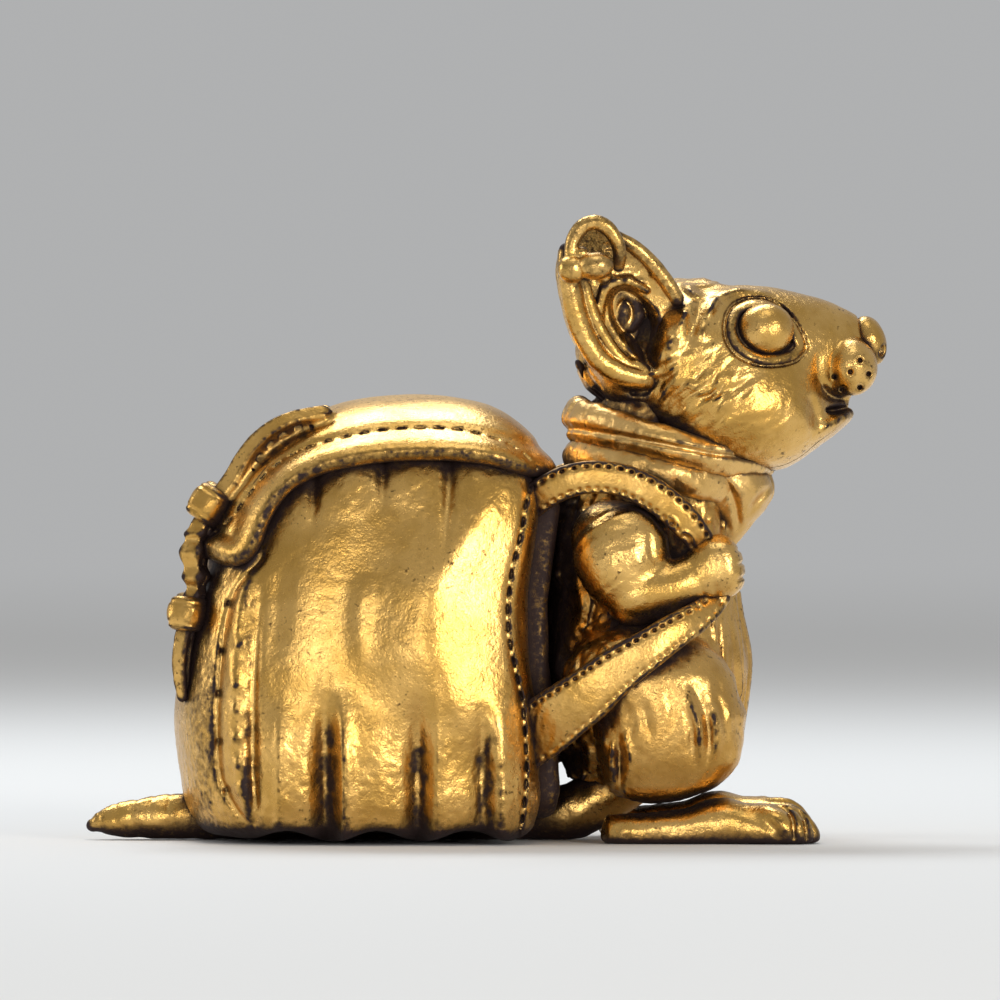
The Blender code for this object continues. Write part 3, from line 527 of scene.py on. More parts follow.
# the rear seam and the crease before it, the foot's creases, the pleats under the hem, the rises between
# the pleats, and a soft rise and a soft dent on the side
BAG_RELIEF = Relief(
    REAR_SEAM,
    [(-12, 1.2, -0.2, 0.26), (-12.1, 4, -0.28, 0.28), (-12.1, 8, -0.2, 0.26), (-11.9, 11, -0.15, 0.26),
     (-11.6, 13.6, 0, 0.26)],
    [(-8.05, 0.2, -0.36, 0.6), (-8.15, 2, -0.46, 0.6), (-8.25, 4, -0.4, 0.56), (-8.35, 6, -0.26, 0.48),
     (-8.4, 8.2, -0.08, 0.4), (-8.4, 9.6, 0, 0.35)],
    [(-3.45, 0.2, -0.28, 0.56), (-3.5, 3, -0.38, 0.56), (-3.5, 5, -0.26, 0.5), (-3.6, 8.2, 0, 0.4)],
    [(-0.05, 0.3, -0.26, 0.5), (-0.08, 3, -0.34, 0.5), (-0.15, 5, -0.24, 0.44), (-0.2, 7.6, 0, 0.36)],
    [(-9, 19.2, -0.36, 0.34), (-9, 17.9, -0.3, 0.32), (-9.1, 16, 0, 0.28)],
    [(-5.4, 20.1, -0.34, 0.32), (-5.4, 18.7, -0.24, 0.3), (-5.5, 17.1, 0, 0.26)],
    [(-1.95, 20.2, -0.34, 0.32), (-1.95, 18.5, -0.32, 0.3), (-2.1, 16.7, -0.2, 0.28),
     (-2.2, 14.8, 0, 0.24)],
    [(-7.1, 19.6, 0.22, 0.9), (-7.1, 18.6, 0.2, 0.9), (-7.1, 16.8, 0, 0.9)],
    [(-3.7, 19.8, 0.2, 0.9), (-3.7, 18.8, 0.18, 0.9), (-3.7, 17, 0, 0.9)],
    [(-0.5, 19.7, 0.18, 0.8), (-0.5, 18.6, 0.16, 0.8), (-0.5, 16.8, 0, 0.8)],
    [(-6.3, 14.2, 0, 0.5), (-6.5, 12.8, 0.14, 0.55), (-6.55, 11, 0.12, 0.55), (-6.5, 9, 0, 0.5)],
    [(-10.4, 15.4, 0, 0.6), (-10.7, 13.4, -0.16, 0.6), (-10.9, 11, -0.12, 0.6), (-11, 9, 0, 0.5)],
)
REAR_RIDGE = Relief([
    (-12.2, 14.9, 0.1, 0.4), (-12.55, 13.8, 0.36, 0.5), (-12.9, 12, 0.4, 0.55),
    (-13.05, 10, 0.38, 0.55), (-13.15, 8, 0.46, 0.55), (-13.1, 6, 0.4, 0.55),
    (-12.9, 4, 0.42, 0.55), (-12.6, 2.5, 0.4, 0.52), (-12, 1.3, 0.2, 0.45),
])
FOLD_TALL = np.linspace(4, 20.6, 160)
FOLD_PLACES = [4, 6.3, 7.9, 10.5, 12.9, 15.5, 17.1, 18.6, 20.6]
FOLD_LEFT, FOLD_RIGHT, FOLD_HEIGHT = (
    monotone(FOLD_PLACES, row, FOLD_TALL).astype(F32) for row in (
        [0.6, -1.1, -2.3, -3.3, -3.1, -1.7, -0.6, 0.5, 1.3],
        [1.8, 1.4, 0.9, 0.35, 0.25, 0.7, 1.2, 1.7, 2.1],
        [0, 0.4, 0.7, 0.88, 0.84, 0.62, 0.4, 0.12, 0],
    )
)


def fold_swell(x, z):
    """The broad fold that winds up the bag's side: a soft rise behind it and a long slope before it."""
    rows = FOLD_LEFT, FOLD_RIGHT, FOLD_HEIGHT
    left, right, height = (np.interp(z, FOLD_TALL, row).astype(F32) for row in rows)
    t = (x - left) / (right - left)
    return height * step(-5, 0.8, x - left) * (1 - step(-0.1, 1.15, t))


LOBE_X = np.linspace(-14.5, 2.6, 240)
LOBE_SWELL = monotone(
    [-14.5, -12.3, -11.2, -10.75, -10.1, -9.4, -8.5, -8, -7.4, -6.6, -5.8,
     -4.6, -3.6, -3.1, -2.5, -1.6, -0.3, 0.2, 0.8, 1.6, 2.6],
    [0, -0.1, 0.28, 0.52, 0.3, 0.08, -0.34, -0.08, 0.72, 0.44, 0.36,
     0.06, -0.3, 0.06, 0.42, 0.14, -0.24, 0.06, 0.36, 0.08, 0],
    LOBE_X).astype(F32)
FIRST_LOBE, LOBE_PITCH = -10.4, 4.7
SEAM_PITS = [(-13.45, 12.6), (-13.75, 10.1), (-13.9, 7.9), (-13.9, 5.4), (-13.5, 2.9)]


def dashes(along, pitch, filled, soft=0.08):
    """1 on each dash along a line and 0 between, from the place along it."""
    part = np.abs((along / pitch) % 1 - 0.5) * pitch
    return 1 - step(filled * pitch / 2 - soft, filled * pitch / 2 + soft, part)


def dots(gap, along, pitch, radius):
    """1 in each round pit along a line and 0 between."""
    part = ((along / pitch) % 1 - 0.5) * pitch
    return bump(np.hypot(gap, part * 0.7), radius)


def bag_field(x, y, z):
    """A leather bag, full and creased: lobes at its foot, pleats under the flap, a stitched front edge."""
    out = np.abs(y)
    side = step(4, 8, out)
    uneven = 1 + 0.35 * noise(x, out, z, (1.2, 1.2, 0.7), 5)
    swell = BAG_RELIEF(x, z) + fold_swell(x, z) + REAR_RIDGE(x, z) * uneven
    lobes = np.interp(x, LOBE_X, LOBE_SWELL).astype(F32)
    swell = swell + lobes * (1 - step(4.4, 8.4, z + 0.4 * noise(x, out, z, 2, 6)))
    rough = 1 + 1.6 * (1 - step(3, 8, z)) + 1.2 * step(15.5, 18.5, z)
    rough = rough + 0.9 * (1 - step(-12.4, -11, x)) * side
    swell = swell * side + 0.06 * noise(x, y, z, 3.5, 3) + 0.007 * rough * noise(x, y, z, 0.9, 4)
    swell = swell + 0.008 * rough * noise(x, y, z, 0.24, 7) + 0.009 * rough * noise(x, y, z, 0.5, 8)
    gap, along, edge = FRONT_STITCH.near(x, z)
    before = np.where(gap < 1.9, step(-0.12, 0.12, -edge * gap), 0)
    stitches = 0.2 * bump(gap, 0.07) * dashes(along, 0.92, 0.6)
    swell = swell + side * (0.12 * before * (z < 20.6) - stitches - 0.05 * bump(gap, 0.22))
    for px, pz in SEAM_PITS:
        swell = swell - 0.22 * side * bump(np.hypot(x - px, z - pz), 0.15)
    d = BAG(z, x, y) - swell
    feet = 0.45 + 0.3 * np.cos((x - FIRST_LOBE) * 2 * math.pi / LOBE_PITCH) * step(3, 7, out)
    return smax(d, feet * step(-16, -12, x) - z, 0.6)


HEM = Line([
    (-17.9, 15.5), (-16.4, 15.4), (-15.2, 15.1), (-14.2, 14.7), (-13.3, 14.5), (-12.4, 14.75),
    (-11.75, 15.6), (-11.3, 16.8), (-10.6, 17.95), (-9.7, 18.75), (-8.2, 19.4), (-6, 19.85),
    (-4, 20), (-1.9, 20), (0.2, 19.75), (1.5, 19.35), (3, 19), (4.8, 18.8),
], 2, 4, reach=4.5)
HEM_X, HEM_Z = HEM.points[:, 0], HEM.points[:, 1]
FLAP = Loft(even([
    (13, -16.4, 3.2, 10), (14.5, -15.8, 3.3, 10), (16, -15.2, 3.5, 9.9), (17.5, -14.5, 3.65, 9.65),
    (19, -13.5, 3.55, 9.2), (20.2, -12.4, 3.2, 8.6), (21.2, -11.1, 2.55, 7.8), (22, -9.9, 1.7, 6.75),
    (22.7, -8.6, 0.65, 5.3), (23.1, -7.4, -0.4, 3.9), (23.32, -6.2, -1.7, 2.4),
]), power=4, low_power=2.8)
FLAP_STITCH = Line([
    (-14.6, 15.9), (-13.4, 16.9), (-12.7, 17.8), (-12, 18.7), (-11.3, 19.5), (-9.7, 20.55),
    (-7.6, 21.2), (-5.5, 21.6), (-3.5, 21.72), (-1.6, 21.65), (-0.3, 21.4), (1, 20.95),
    (1.9, 20.4), (2.6, 19.6),
], 2, 3)


def flap_field(x, y, z):
    """The flap over the bag's top, with a fat rolled hem and a row of stitches above it."""
    out = np.abs(y)
    d = FLAP(z, x, y)
    gap = HEM.near(x, z)[0]
    hem_height = np.interp(x, HEM_X, HEM_Z).astype(F32)
    edge = np.where(z > hem_height, -gap, gap)
    side = step(3, 6, out)
    swell = 0.26 * bump(edge + 0.75, 0.62) - 0.12 * bump(edge + 1.6, 0.3)
    stitch, along, _ = FLAP_STITCH.near(x, z)
    holes = 0.14 * bump(stitch, 0.055) * dashes(along, 0.98, 0.56)
    swell = swell - side * (0.05 * bump(stitch, 0.26) + holes)
    swell = swell + 0.05 * noise(x, y, z, 3, 9) + 0.01 * noise(x, y, z, 1, 10)
    swell = swell + 0.016 * noise(x, y, z, 0.26, 11) * bump(edge + 0.5, 1)
    return smax(d - swell, edge, 0.75)


PANEL_Z = (0.9, 2.7, 6.3, 9.4, 12.6, 15.3, 17.5, 19.4)
PANEL_X = (2.4, 2.8, 2.6, 2.2, 2.15, 2.5, 2.8, 2.5)
PANEL_HALF_WIDTH, PANEL_MIDDLE, PANEL_HALF_HEIGHT, PANEL_HALF_DEPTH = 5.6, 9.9, 8.6, 0.85


def panel_field(x, y, z):
    """The pad at the rucksack's front, with a rounded edge."""
    front = np.interp(z, PANEL_Z, PANEL_X).astype(F32)
    slab = np.abs(x - front - 0.2) - PANEL_HALF_DEPTH
    outline = smax(np.abs(y) - PANEL_HALF_WIDTH, np.abs(z - PANEL_MIDDLE) - PANEL_HALF_HEIGHT, 1.5)
    return smax(slab, outline, 0.7) - 0.03 * noise(x, y, z, 0.8, 2)


# Straps

STRAP_CORNER, HOLE_RADIUS, CORD_CORNER = 0.22, 0.105, 0.2


def strap(x, y, z, rows, pitch, inset, upper, lower, seed):
    """A flat band with a row of holes along each edge: rows of x, z, y, half width and half thickness."""
    line = Line(rows, 2, 4, reach=3)
    gap, along, edge, middle, half_width, half_depth = line.near(x, z)
    over = np.abs(y - middle)
    crown = 0.12 * (1 - (gap / np.maximum(half_width, 0.2)) ** 2)
    d = band(gap - half_width + STRAP_CORNER, over - half_depth - crown + STRAP_CORNER, STRAP_CORNER)
    rim = gap - (half_width - inset)
    amount = np.where(edge > 0, F32(upper), F32(lower))
    d = d + 0.2 * amount * dots(rim, along + 0.1 * noise(x, y, z, 0.8, seed + 21), pitch, HOLE_RADIUS)
    d = d + 0.02 * bump(rim, 0.2)
    d = np.where((gap < line.reach) & (half_width > 0), d, np.hypot(gap, over) - 0.2)
    return d - 0.035 * noise(x, y, z, 0.9, seed + 20) - 0.012 * noise(x, y, z, 0.28, seed + 22)


UPPER_STRAP = [
    (0.9, 16.6, 4.9, 0.8, 0.55), (2.1, 17.65, 5.7, 0.85, 0.6), (3.3, 18.5, 6.5, 0.85, 0.6),
    (4.5, 19.02, 6.88, 0.85, 0.6), (5.8, 19.15, 6.95, 0.85, 0.6), (7.2, 18.95, 6.95, 0.85, 0.6),
    (8.6, 18.3, 6.9, 0.85, 0.6), (9.8, 17.4, 6.8, 0.85, 0.6), (10.7, 16.45, 6.6, 0.8, 0.56),
    (11.35, 15.5, 6.1, 0.72, 0.5),
]
LOWER_STRAP = [
    (0.8, 4.75, 6.5, 1.66, 0.6), (2, 5.5, 7, 1.64, 0.6), (2.9, 6.1, 7.7, 1.6, 0.6),
    (3.8, 6.75, 8.4, 1.52, 0.6), (5.2, 7.8, 8.9, 1.4, 0.6), (6.8, 9.1, 9, 1.22, 0.6),
    (8.4, 10.2, 8.9, 1.05, 0.6), (10, 11.25, 8.4, 0.9, 0.58), (11.3, 12.1, 7.4, 0.74, 0.56),
    (12.1, 12.9, 6.3, 0.62, 0.5),
]
EYELETS, EYELET_LEAN = ((9.7, 16.75), (10.55, 15.95)), -0.85


def upper_strap_field(x, y, z):
    """The strap over the shoulder, with two raised eyelets by the hand."""
    d = strap(x, y, z, UPPER_STRAP, seed=1, inset=0.27, pitch=0.54, upper=0.8, lower=1.3)
    for px, pz in EYELETS:
        along, across = turned(x - px, z - pz, EYELET_LEAN)
        ring = np.abs(np.hypot(along * 0.55, across) - 0.2)
        d = d - 0.1 * bump(ring, 0.09) * (y > 6)
    return d


def lower_strap_field(x, y, z):
    """The broad strap from the bag's foot to the hand, grained near the bag."""
    d = strap(x, y, z, LOWER_STRAP, inset=0.34, pitch=0.52, upper=0.6, lower=1.2, seed=2)
    near_bag = 1 - step(3.4, 5.2, x)
    return d + 0.04 * near_bag * strokes(x, y, z, 1.35, 0.22, 1.2, 8)


KNOT_PITCH = 1.12
FLAP_STRAP_Y, FACE_SIDEWAYS, FACE_BACKWARD = 5.5, 0.45, 0.9
FLAP_STRAP = [
    (-8.6, 22.42, 5.2, 0.5, 0.3), (-10.1, 22.08, 5.4, 0.55, 0.34), (-11.4, 21.36, 5.5, 0.6, 0.37),
    (-12.4, 20.3, 5.5, 0.62, 0.38), (-13.2, 19, 5.5, 0.6, 0.38), (-14.1, 17.8, 5.5, 0.56, 0.38),
    (-14.9, 16.5, 5.5, 0.56, 0.4), (-15.25, 15.2, 5.5, 0.66, 0.52), (-15.15, 13.8, 5.5, 0.6, 0.46),
    (-15.35, 12.4, 5.5, 0.52, 0.38), (-15.75, 10.9, 5.5, 0.5, 0.36), (-15.95, 9.3, 5.5, 0.48, 0.34),
    (-15.85, 7.7, 5.5, 0.3, 0.26),
]


def across_and_out(over, sideways):
    """Places across the flap strap and out of its face, which leans toward the bag's side."""
    across = over * FACE_SIDEWAYS + sideways * FACE_BACKWARD
    return across, over * FACE_BACKWARD - sideways * FACE_SIDEWAYS


def flap_strap_field(x, y, z):
    """A narrow stitched strap along the bag's rear corner, knotted between its keepers."""
    line = Line(FLAP_STRAP, 2, 4, reach=3)
    gap, along, side, middle, half, deep = line.near(x, z)
    across, out = across_and_out(side * gap, y - middle)
    past_edge, past_face = np.abs(across) - half * 1.05, np.abs(out) - deep * 1.15
    d = band(past_edge + CORD_CORNER, past_face + CORD_CORNER, CORD_CORNER)
    d = d + 0.16 * bump(across, 0.09) * dashes(along, 0.95, 0.5, 0.05)
    knot = (1 - step(16, 16.8, z)) * step(12.6, 13.3, z)
    beads = np.cos((z - 15.1 + 0.25 * noise(x * 0, y * 0, z, 1.3, 33)) * 2 * math.pi / KNOT_PITCH)
    d = d - 0.11 * knot * (beads - 0.3) - 0.05 * knot * noise(x, y, z, 0.6, 30)
    tail = 1 - step(10.2, 10.8, z)
    d = d + 0.15 * tail * bump(across + 0.1, 0.1)
    d = np.where(gap < line.reach, d - 0.02 * noise(x, y, z, 0.4, 32), 2)
    under = FLAP(z, x, y) + 0.05 + 3 * (1 - step(16.6, 18, z))
    return grown(d, under, 0.9, 1.1, 0.3)


def keeper_field(px, pz, half_length, lean):
    """A barrel round the flap strap, at a place and along a direction in the side view."""
    def field(x, y, z):
        along, out = turned(x - px, z - pz, lean)
        barrel = 1 - 0.16 * (along / half_length) ** 2
        across, over = across_and_out(out, y - FLAP_STRAP_Y)
        body = np.abs(across / (1.25 * barrel)) ** 3 + np.abs(over / (0.98 * barrel)) ** 3
        body = (body + F32(1e-6)) ** (1 / 3)
        past_end = np.abs(along) - half_length
        d = smax((body - 1) * 0.95, past_end, 0.35)
        return d + 0.05 * bump(past_end + 0.35, 0.1) - 0.03 * noise(x, y, z, 0.45, 31)
    return field


# Torso, legs and feet

TORSO = Loft(even([
    (2.6, 6.45, 10.55, 2), (3.6, 4.6, 12.4, 3.9), (6, 3.4, 13.5, 5.2), (9.2, 3.1, 13.9, 5.6),
    (12.5, 3.1, 13.3, 5.6), (16, 3.2, 12.9, 5.3), (18.5, 3.9, 12.6, 4.9), (20.4, 4.6, 12.5, 4.3),
    (22.6, 5.4, 12.6, 3.9), (24, 6.4, 12, 3.3),
]), 2.2)
LEG = Loft([
    (2.35, 7.25, 10.5, 5, 7.1), (3.05, 6.3, 12.15, 3.9, 8.2), (4.5, 5.85, 13.25, 3.2, 8.9),
    (6.5, 5.5, 13.6, 2.9, 9.1), (8.4, 4, 13, 2.9, 9), (10.05, 4.6, 11.95, 3.3, 8.2),
    (11.1, 6.1, 9.9, 4, 7.1), (11.55, 7.2, 8.8, 4.8, 6.3),
], 2.1)
FOOT = Loft([
    (6.12, -0.2, 1.2, 5.2, 6.5), (6.4, -0.5, 1.5, 4.6, 7.1), (8.5, -0.5, 1.62, 4.1, 7.5),
    (10.4, -0.5, 1.85, 4, 7.6), (11.6, -0.5, 2.3, 3.95, 7.65), (12.4, -0.5, 2.4, 3.9, 7.7),
    (13.6, -0.5, 2.15, 3.8, 7.85), (15, -0.5, 2.1, 3.6, 8.05), (16, -0.5, 2, 3.6, 8.05),
    (16.7, -0.4, 1.65, 3.8, 7.8), (17.1, -0.2, 1.15, 4.3, 7.3),
], 2.5)


def torso_field(x, y, z):
    """Shaggy chest and flanks, with long hair down the belly."""
    d = TORSO(z, x, y)
    front = step(10.6, 12.9, x) * (1 - step(13, 14.2, z))
    hair = noise(y + 0.4 * noise(y, x, z, 1.6, 15), x, z, (0.23, 1.2, 6), 14)
    side_hair = strokes(x, y, z, 1.5, 0.24, 4.5, 16)
    belly = 0.2 * (hair * step(0.3, 1.2, x - 12.2) + side_hair * (1 - step(0.3, 1.2, x - 12.2)))
    tufts = strokes(x, y, z, 1.42, 0.46, 1.9, 11)
    pits = noise(x, y, z, 0.36, 13)
    locks = strokes(x, y, z, 1.3, 0.75, 2.6, 17)
    return d - (1 - front) * (0.34 * tufts + 0.2 * locks + 0.11 * pits) - front * belly


LEG_RELIEF = Relief(
    [(10.5, 9, 0, 0.26), (10.9, 7.9, -0.09, 0.26), (11.4, 6.9, -0.11, 0.25), (11.6, 5.6, -0.1, 0.24),
     (11.4, 4.2, 0, 0.2)],
    [(10.3, 7.2, 0, 0.22), (10.6, 6.2, -0.08, 0.23), (10.7, 5.2, -0.09, 0.22), (11, 3.9, 0, 0.2)],
    [(11.9, 7.9, 0, 0.2), (12.3, 6.9, -0.09, 0.22), (12.5, 5.8, -0.09, 0.2), (12.3, 4.3, 0, 0.2)],
    [(10.2, 8.6, 0, 0.35), (10.6, 7.6, 0.12, 0.32), (11, 6.4, 0.16, 0.3), (11.1, 5.2, 0.14, 0.28),
     (10.9, 4.2, 0, 0.25)],
    [(11.6, 7.4, 0, 0.3), (12, 6.5, 0.14, 0.28), (12.1, 5.4, 0.14, 0.28), (11.9, 4.3, 0, 0.25)],
    [(6.2, 6.3, 0, 0.25), (6.35, 5.2, 0.28, 0.28), (6.5, 3.9, 0.24, 0.26), (6.8, 2.8, 0, 0.2)],
    [(6.75, 6.2, 0, 0.2), (6.95, 5, -0.17, 0.2), (7, 3.6, -0.15, 0.2), (7.2, 2.7, 0, 0.2)],
    [(7.2, 6, 0, 0.2), (7.45, 4.8, 0.18, 0.22), (7.5, 3.4, 0.1, 0.2), (7.6, 2.7, 0, 0.2)],
    [(7.8, 8, 0, 0.3), (8.2, 7, -0.1, 0.3), (8.6, 5.4, 0, 0.3)],
    [(9.2, 8.8, 0, 0.3), (9.6, 7.4, -0.06, 0.3), (9.7, 6, 0, 0.3)],
)


def leg_field(x, y, z):
    """A haunch, soft into the torso: creases on its outside, fur at its rear, knee and inside."""
    d = LEG(z, x, y)
    torso = TORSO(z, x, y) + 0.05
    blend = grown(d, torso, 1, 0.9, 0.4)
    outside = step(4.5, 6.5, y)
    rear = 1 - step(7, 8.4, x)
    knee = step(9.6, 11.2, x) * step(3.2, 4.6, z) * (1 - step(8.2, 9.4, z))
    swell = outside * LEG_RELIEF(x, z) * 1.3 * (1 + 0.5 * noise(x, y, z, 0.8, 25))
    swell = swell + rear * (0.13 * strokes(x, y, z, 1.5, 0.34, 1.2, 21) + 0.05 * noise(x, y, z, 0.34, 26))
    swell = swell + knee * 0.09 * strokes(x, y, z, 1.62, 0.32, 1.9, 29)
    swell = swell + (1 - outside) * 0.12 * strokes(x, y, z, 1.5, 0.4, 1.8, 27)
    return blend - swell - 0.03 * noise(x, y, z, 1.4, 22) - 0.016 * noise(x, y, z, 0.26, 28)


TOE_GAPS = (4.75, 5.8, 6.85)
FOOT_RELIEF = Relief(
    [(15, 2.05, -0.08, 0.12), (15.6, 1.8, -0.2, 0.12), (15.95, 1.25, -0.22, 0.12),
     (16.05, 0.35, -0.18, 0.12)],
    [(15.9, 2, -0.08, 0.11), (16.35, 1.65, -0.2, 0.11), (16.6, 1.1, -0.2, 0.11),
     (16.7, 0.3, -0.15, 0.11)],
    [(13, 1.9, 0, 0.3), (14.1, 1.4, -0.12, 0.3), (14.9, 0.9, -0.16, 0.28), (15.2, 0.4, -0.12, 0.25)],
    [(14.2, 2, 0, 0.4), (15.2, 1.4, 0.12, 0.3), (15.5, 0.8, 0.1, 0.25)],
)


def foot_field(x, y, z):
    """A flat foot with rounded toes."""
    d = FOOT(x, z, y) - step(5.8, 6.8, y) * FOOT_RELIEF(x, z)
    for place in TOE_GAPS:
        d = d + 0.34 * bump(y - place - 0.1 * (x - 16), 0.2) * step(14.6, 15.8, x)
    heel = 1 - step(8, 10, x)
    d = d - (0.015 + 0.03 * heel) * noise(x, y, z, 0.35, 24) - 0.03 * noise(x, y, z, 1, 23)
    return smax(d, 0.02 - z, 0.3)


# Arms and hands

UPPER_ARM = [(6.45, 5.4, 15.9, 2.05), (6.8, 5.95, 15.2, 2.38), (7.3, 6.25, 13.9, 2.15),
             (7.8, 6.4, 13.1, 1.62)]
SLEEVE = [(7.8, 6.4, 16.5, 1.05), (8.2, 6.6, 15.8, 1.05), (8.3, 6.6, 15, 0.95)]
FOREARM = [(7.8, 6.4, 13.1, 1.62), (9.2, 6.7, 13.25, 1.4), (10.6, 6.5, 13.75, 1.32),
           (11.8, 6.2, 14.3, 1.36)]


def arm_plain(x, y, z):
    """The arm before any relief."""
    upper = smin(tube(x, y, z, UPPER_ARM, 3), tube(x, y, z, SLEEVE, 2), 1.2)
    return smin(upper, tube(x, y, z, FOREARM, 3), 0.55)


ARM_RELIEF = Relief(
    [(8.3, 17, 0, 0.2), (8.5, 16, -0.06, 0.2), (8.6, 15.2, -0.08, 0.18), (8.9, 14.5, 0, 0.16)],
    [(7.6, 15.6, 0, 0.3), (7.9, 14.9, 0.08, 0.3), (8.4, 14.2, 0, 0.3)],
)


def arm_field(x, y, z):
    """A smooth arm, soft into the torso, creased at the elbow."""
    d = arm_plain(x, y, z)
    torso = TORSO(z, x, y) + 0.12
    d = smax(smin(d, torso, 0.7), d - 0.8 + 0.6 * step(15.2, 16.8, z), 0.4)
    swell = step(5.5, 6.5, y) * ARM_RELIEF(x, z) + 0.035 * noise(x, y, z, 1.6, 42)
    return d - swell - 0.012 * noise(x, y, z, 0.3, 43)


FIST, FIST_HALF, FIST_LEAN, FIST_POWER = (12.15, 6.1, 14.5), (1.22, 1.6, 1.62), 0.3, 2.6
FINGER_GAPS = (15.15, 14.4, 13.65)
WRIST = [(10.7, 6.45, 13.8, 1.28), (11.9, 6.15, 14.35, 1.3)]


def hand_field(x, y, z):
    """A closed fist on the strap."""
    u, v = turned(x - FIST[0], z - FIST[2], FIST_LEAN)
    k = sum(np.abs(value / half) ** FIST_POWER for value, half in zip((u, y - FIST[1], v), FIST_HALF))
    k = (k + F32(1e-5)) ** F32(1 / FIST_POWER)
    d = smin((k - 1) * 1.1, tube(x, y, z, WRIST, 1), 0.7)
    for place in FINGER_GAPS:
        d = d + 0.12 * bump(z - place - 0.35 * (x - 12.6), 0.11) * step(12.9, 13.3, x)
    d = d + 0.04 * bump(u + 0.55, 0.2) * step(6.6, 7, y)
    return d - 0.03 * noise(x, y, z, 0.8, 44) - 0.012 * noise(x, y, z, 0.3, 45)


# Head

HEAD = Loft(even([
    (4.75, 25.1, 26, 0.8), (5, 24.4, 26.7, 1.7), (5.65, 23.5, 27.6, 3), (7.1, 22.5, 28.6, 4.6),
    (9.1, 21.4, 29.35, 5.5), (11.3, 20.4, 29.55, 5.7), (13.5, 19.8, 29.2, 5.3), (15.6, 20.3, 29, 4.3),
    (17.1, 21.6, 28.65, 3.35), (18.5, 22.9, 28.15, 2.4), (19.6, 23.8, 27.55, 1.5),
    (20.25, 24.7, 26.9, 0.75),
]), 2.1)
EYE_X, EYE_Y, EYE_Z = 14.6, 4.05, 26.82
EYE_WIDE, EYE_DEEP, EYE_TALL = 1.52, 1.38, 1.4
EYE_EDGE = Line([
    (12.82, 26.95), (12.98, 27.6), (13.4, 28.02), (14.15, 28.2), (14.95, 28), (15.65, 27.45),
    (16.12, 26.75), (16.4, 25.98), (16.05, 25.55), (15.4, 25.34), (14.6, 25.3), (13.95, 25.46),
    (13.35, 25.8), (12.95, 26.35),
], 2, 3, closed=True)
EYE_GROOVE = Line([
    (12.42, 26.95), (12.58, 27.75), (13.1, 28.3), (14.15, 28.55), (15.15, 28.32), (15.95, 27.65),
    (16.46, 26.85), (16.8, 25.9), (16.3, 25.26), (15.5, 25), (14.6, 24.95), (13.8, 25.12),
    (13.05, 25.52), (12.56, 26.2),
], 2, 3, closed=True)
# the brow, the ear's root with the grooves about it, the crown's edge, the muzzle's folds and a lip
HEAD_RELIEF = Relief(
    [(11.3, 26.2, 0, 0.4), (11.45, 27.4, 0.26, 0.38), (12.15, 28.55, 0.32, 0.36), (13.6, 29.05, 0.24, 0.32),
     (15, 28.85, 0, 0.3)],
    [(10.8, 28.5, 0, 0.3), (10.45, 27.8, 0.46, 0.4), (9.85, 26.8, 0.5, 0.42), (9.35, 25.8, 0.42, 0.42),
     (9, 24.8, 0.16, 0.38), (8.8, 24.2, 0, 0.3)],
    [(11.2, 28.6, 0, 0.2), (11.1, 27.6, -0.16, 0.22), (10.75, 26.7, -0.16, 0.22), (10.3, 25.6, 0, 0.2)],
    [(9.35, 26.2, 0, 0.2), (9.25, 25.3, -0.22, 0.24), (9.05, 24.4, -0.34, 0.28), (8.4, 23.7, -0.3, 0.26),
     (7.4, 23.6, -0.2, 0.24), (6.6, 24, 0, 0.2)],
    [(10.3, 29.3, 0, 0.2), (10.7, 28.9, 0.26, 0.26), (11.2, 28.6, 0.1, 0.24), (11.5, 28.3, 0, 0.2)],
    [(17.9, 26.2, 0, 0.3), (17.55, 25.6, -0.08, 0.3), (17.4, 24.8, -0.16, 0.28), (17.6, 23.9, -0.26, 0.26),
     (18.2, 23.35, -0.22, 0.24), (19, 23.25, -0.1, 0.22)],
    [(16.5, 23.9, 0, 0.4), (16.9, 23.1, -0.14, 0.42), (17.2, 22.4, -0.2, 0.4), (17.35, 21.7, -0.12, 0.34),
     (17.5, 21.2, 0, 0.3)],
    [(17.1, 21.3, 0, 0.32), (17.7, 21.6, 0.26, 0.36), (18.3, 22, 0.36, 0.36), (18.8, 22.3, 0.24, 0.3),
     (19.15, 22.5, 0, 0.25)],
)
MOUTH = Relief([
    (17.5, 22.72, 0, 0.12), (17.9, 22.62, -0.4, 0.15), (18.4, 22.62, -0.6, 0.17),
    (18.9, 22.72, -0.45, 0.15), (19.25, 22.85, 0, 0.12),
])
JAW = Loft(even([
    (13.6, 19.85, 24.4, 4.5), (15.3, 19.6, 24.2, 4.2), (16.3, 20, 23.8, 3.7), (17.1, 20.5, 23.2, 3),
    (17.9, 21.05, 22.8, 2.3), (18.5, 21.5, 22.72, 1.75), (18.95, 21.9, 22.66, 1.2),
]), 2.2)


def chin(x, y, z):
    """The lower jaw's own region, as a distance."""
    return smax(JAW(x, z, y), 13 - x, 0.8)


def fur(x, y, z, seed):
    """Short chiselled locks."""
    return strokes(x, y, z, 0.55, 0.38, 1.25, seed) + 0.35 * strokes(x, y, z, 0.8, 0.2, 0.6, seed + 3)


def head_plain(x, y, z):
    """The head with its full cheeks, before any relief."""
    cheek = egg(x, np.abs(y), z, (13.2, 2.9, 22.7), (4, 2.8, 2.6))
    return smin(smin(HEAD(x, z, y), cheek, 1.6), chin(x, y, z), 1.3)


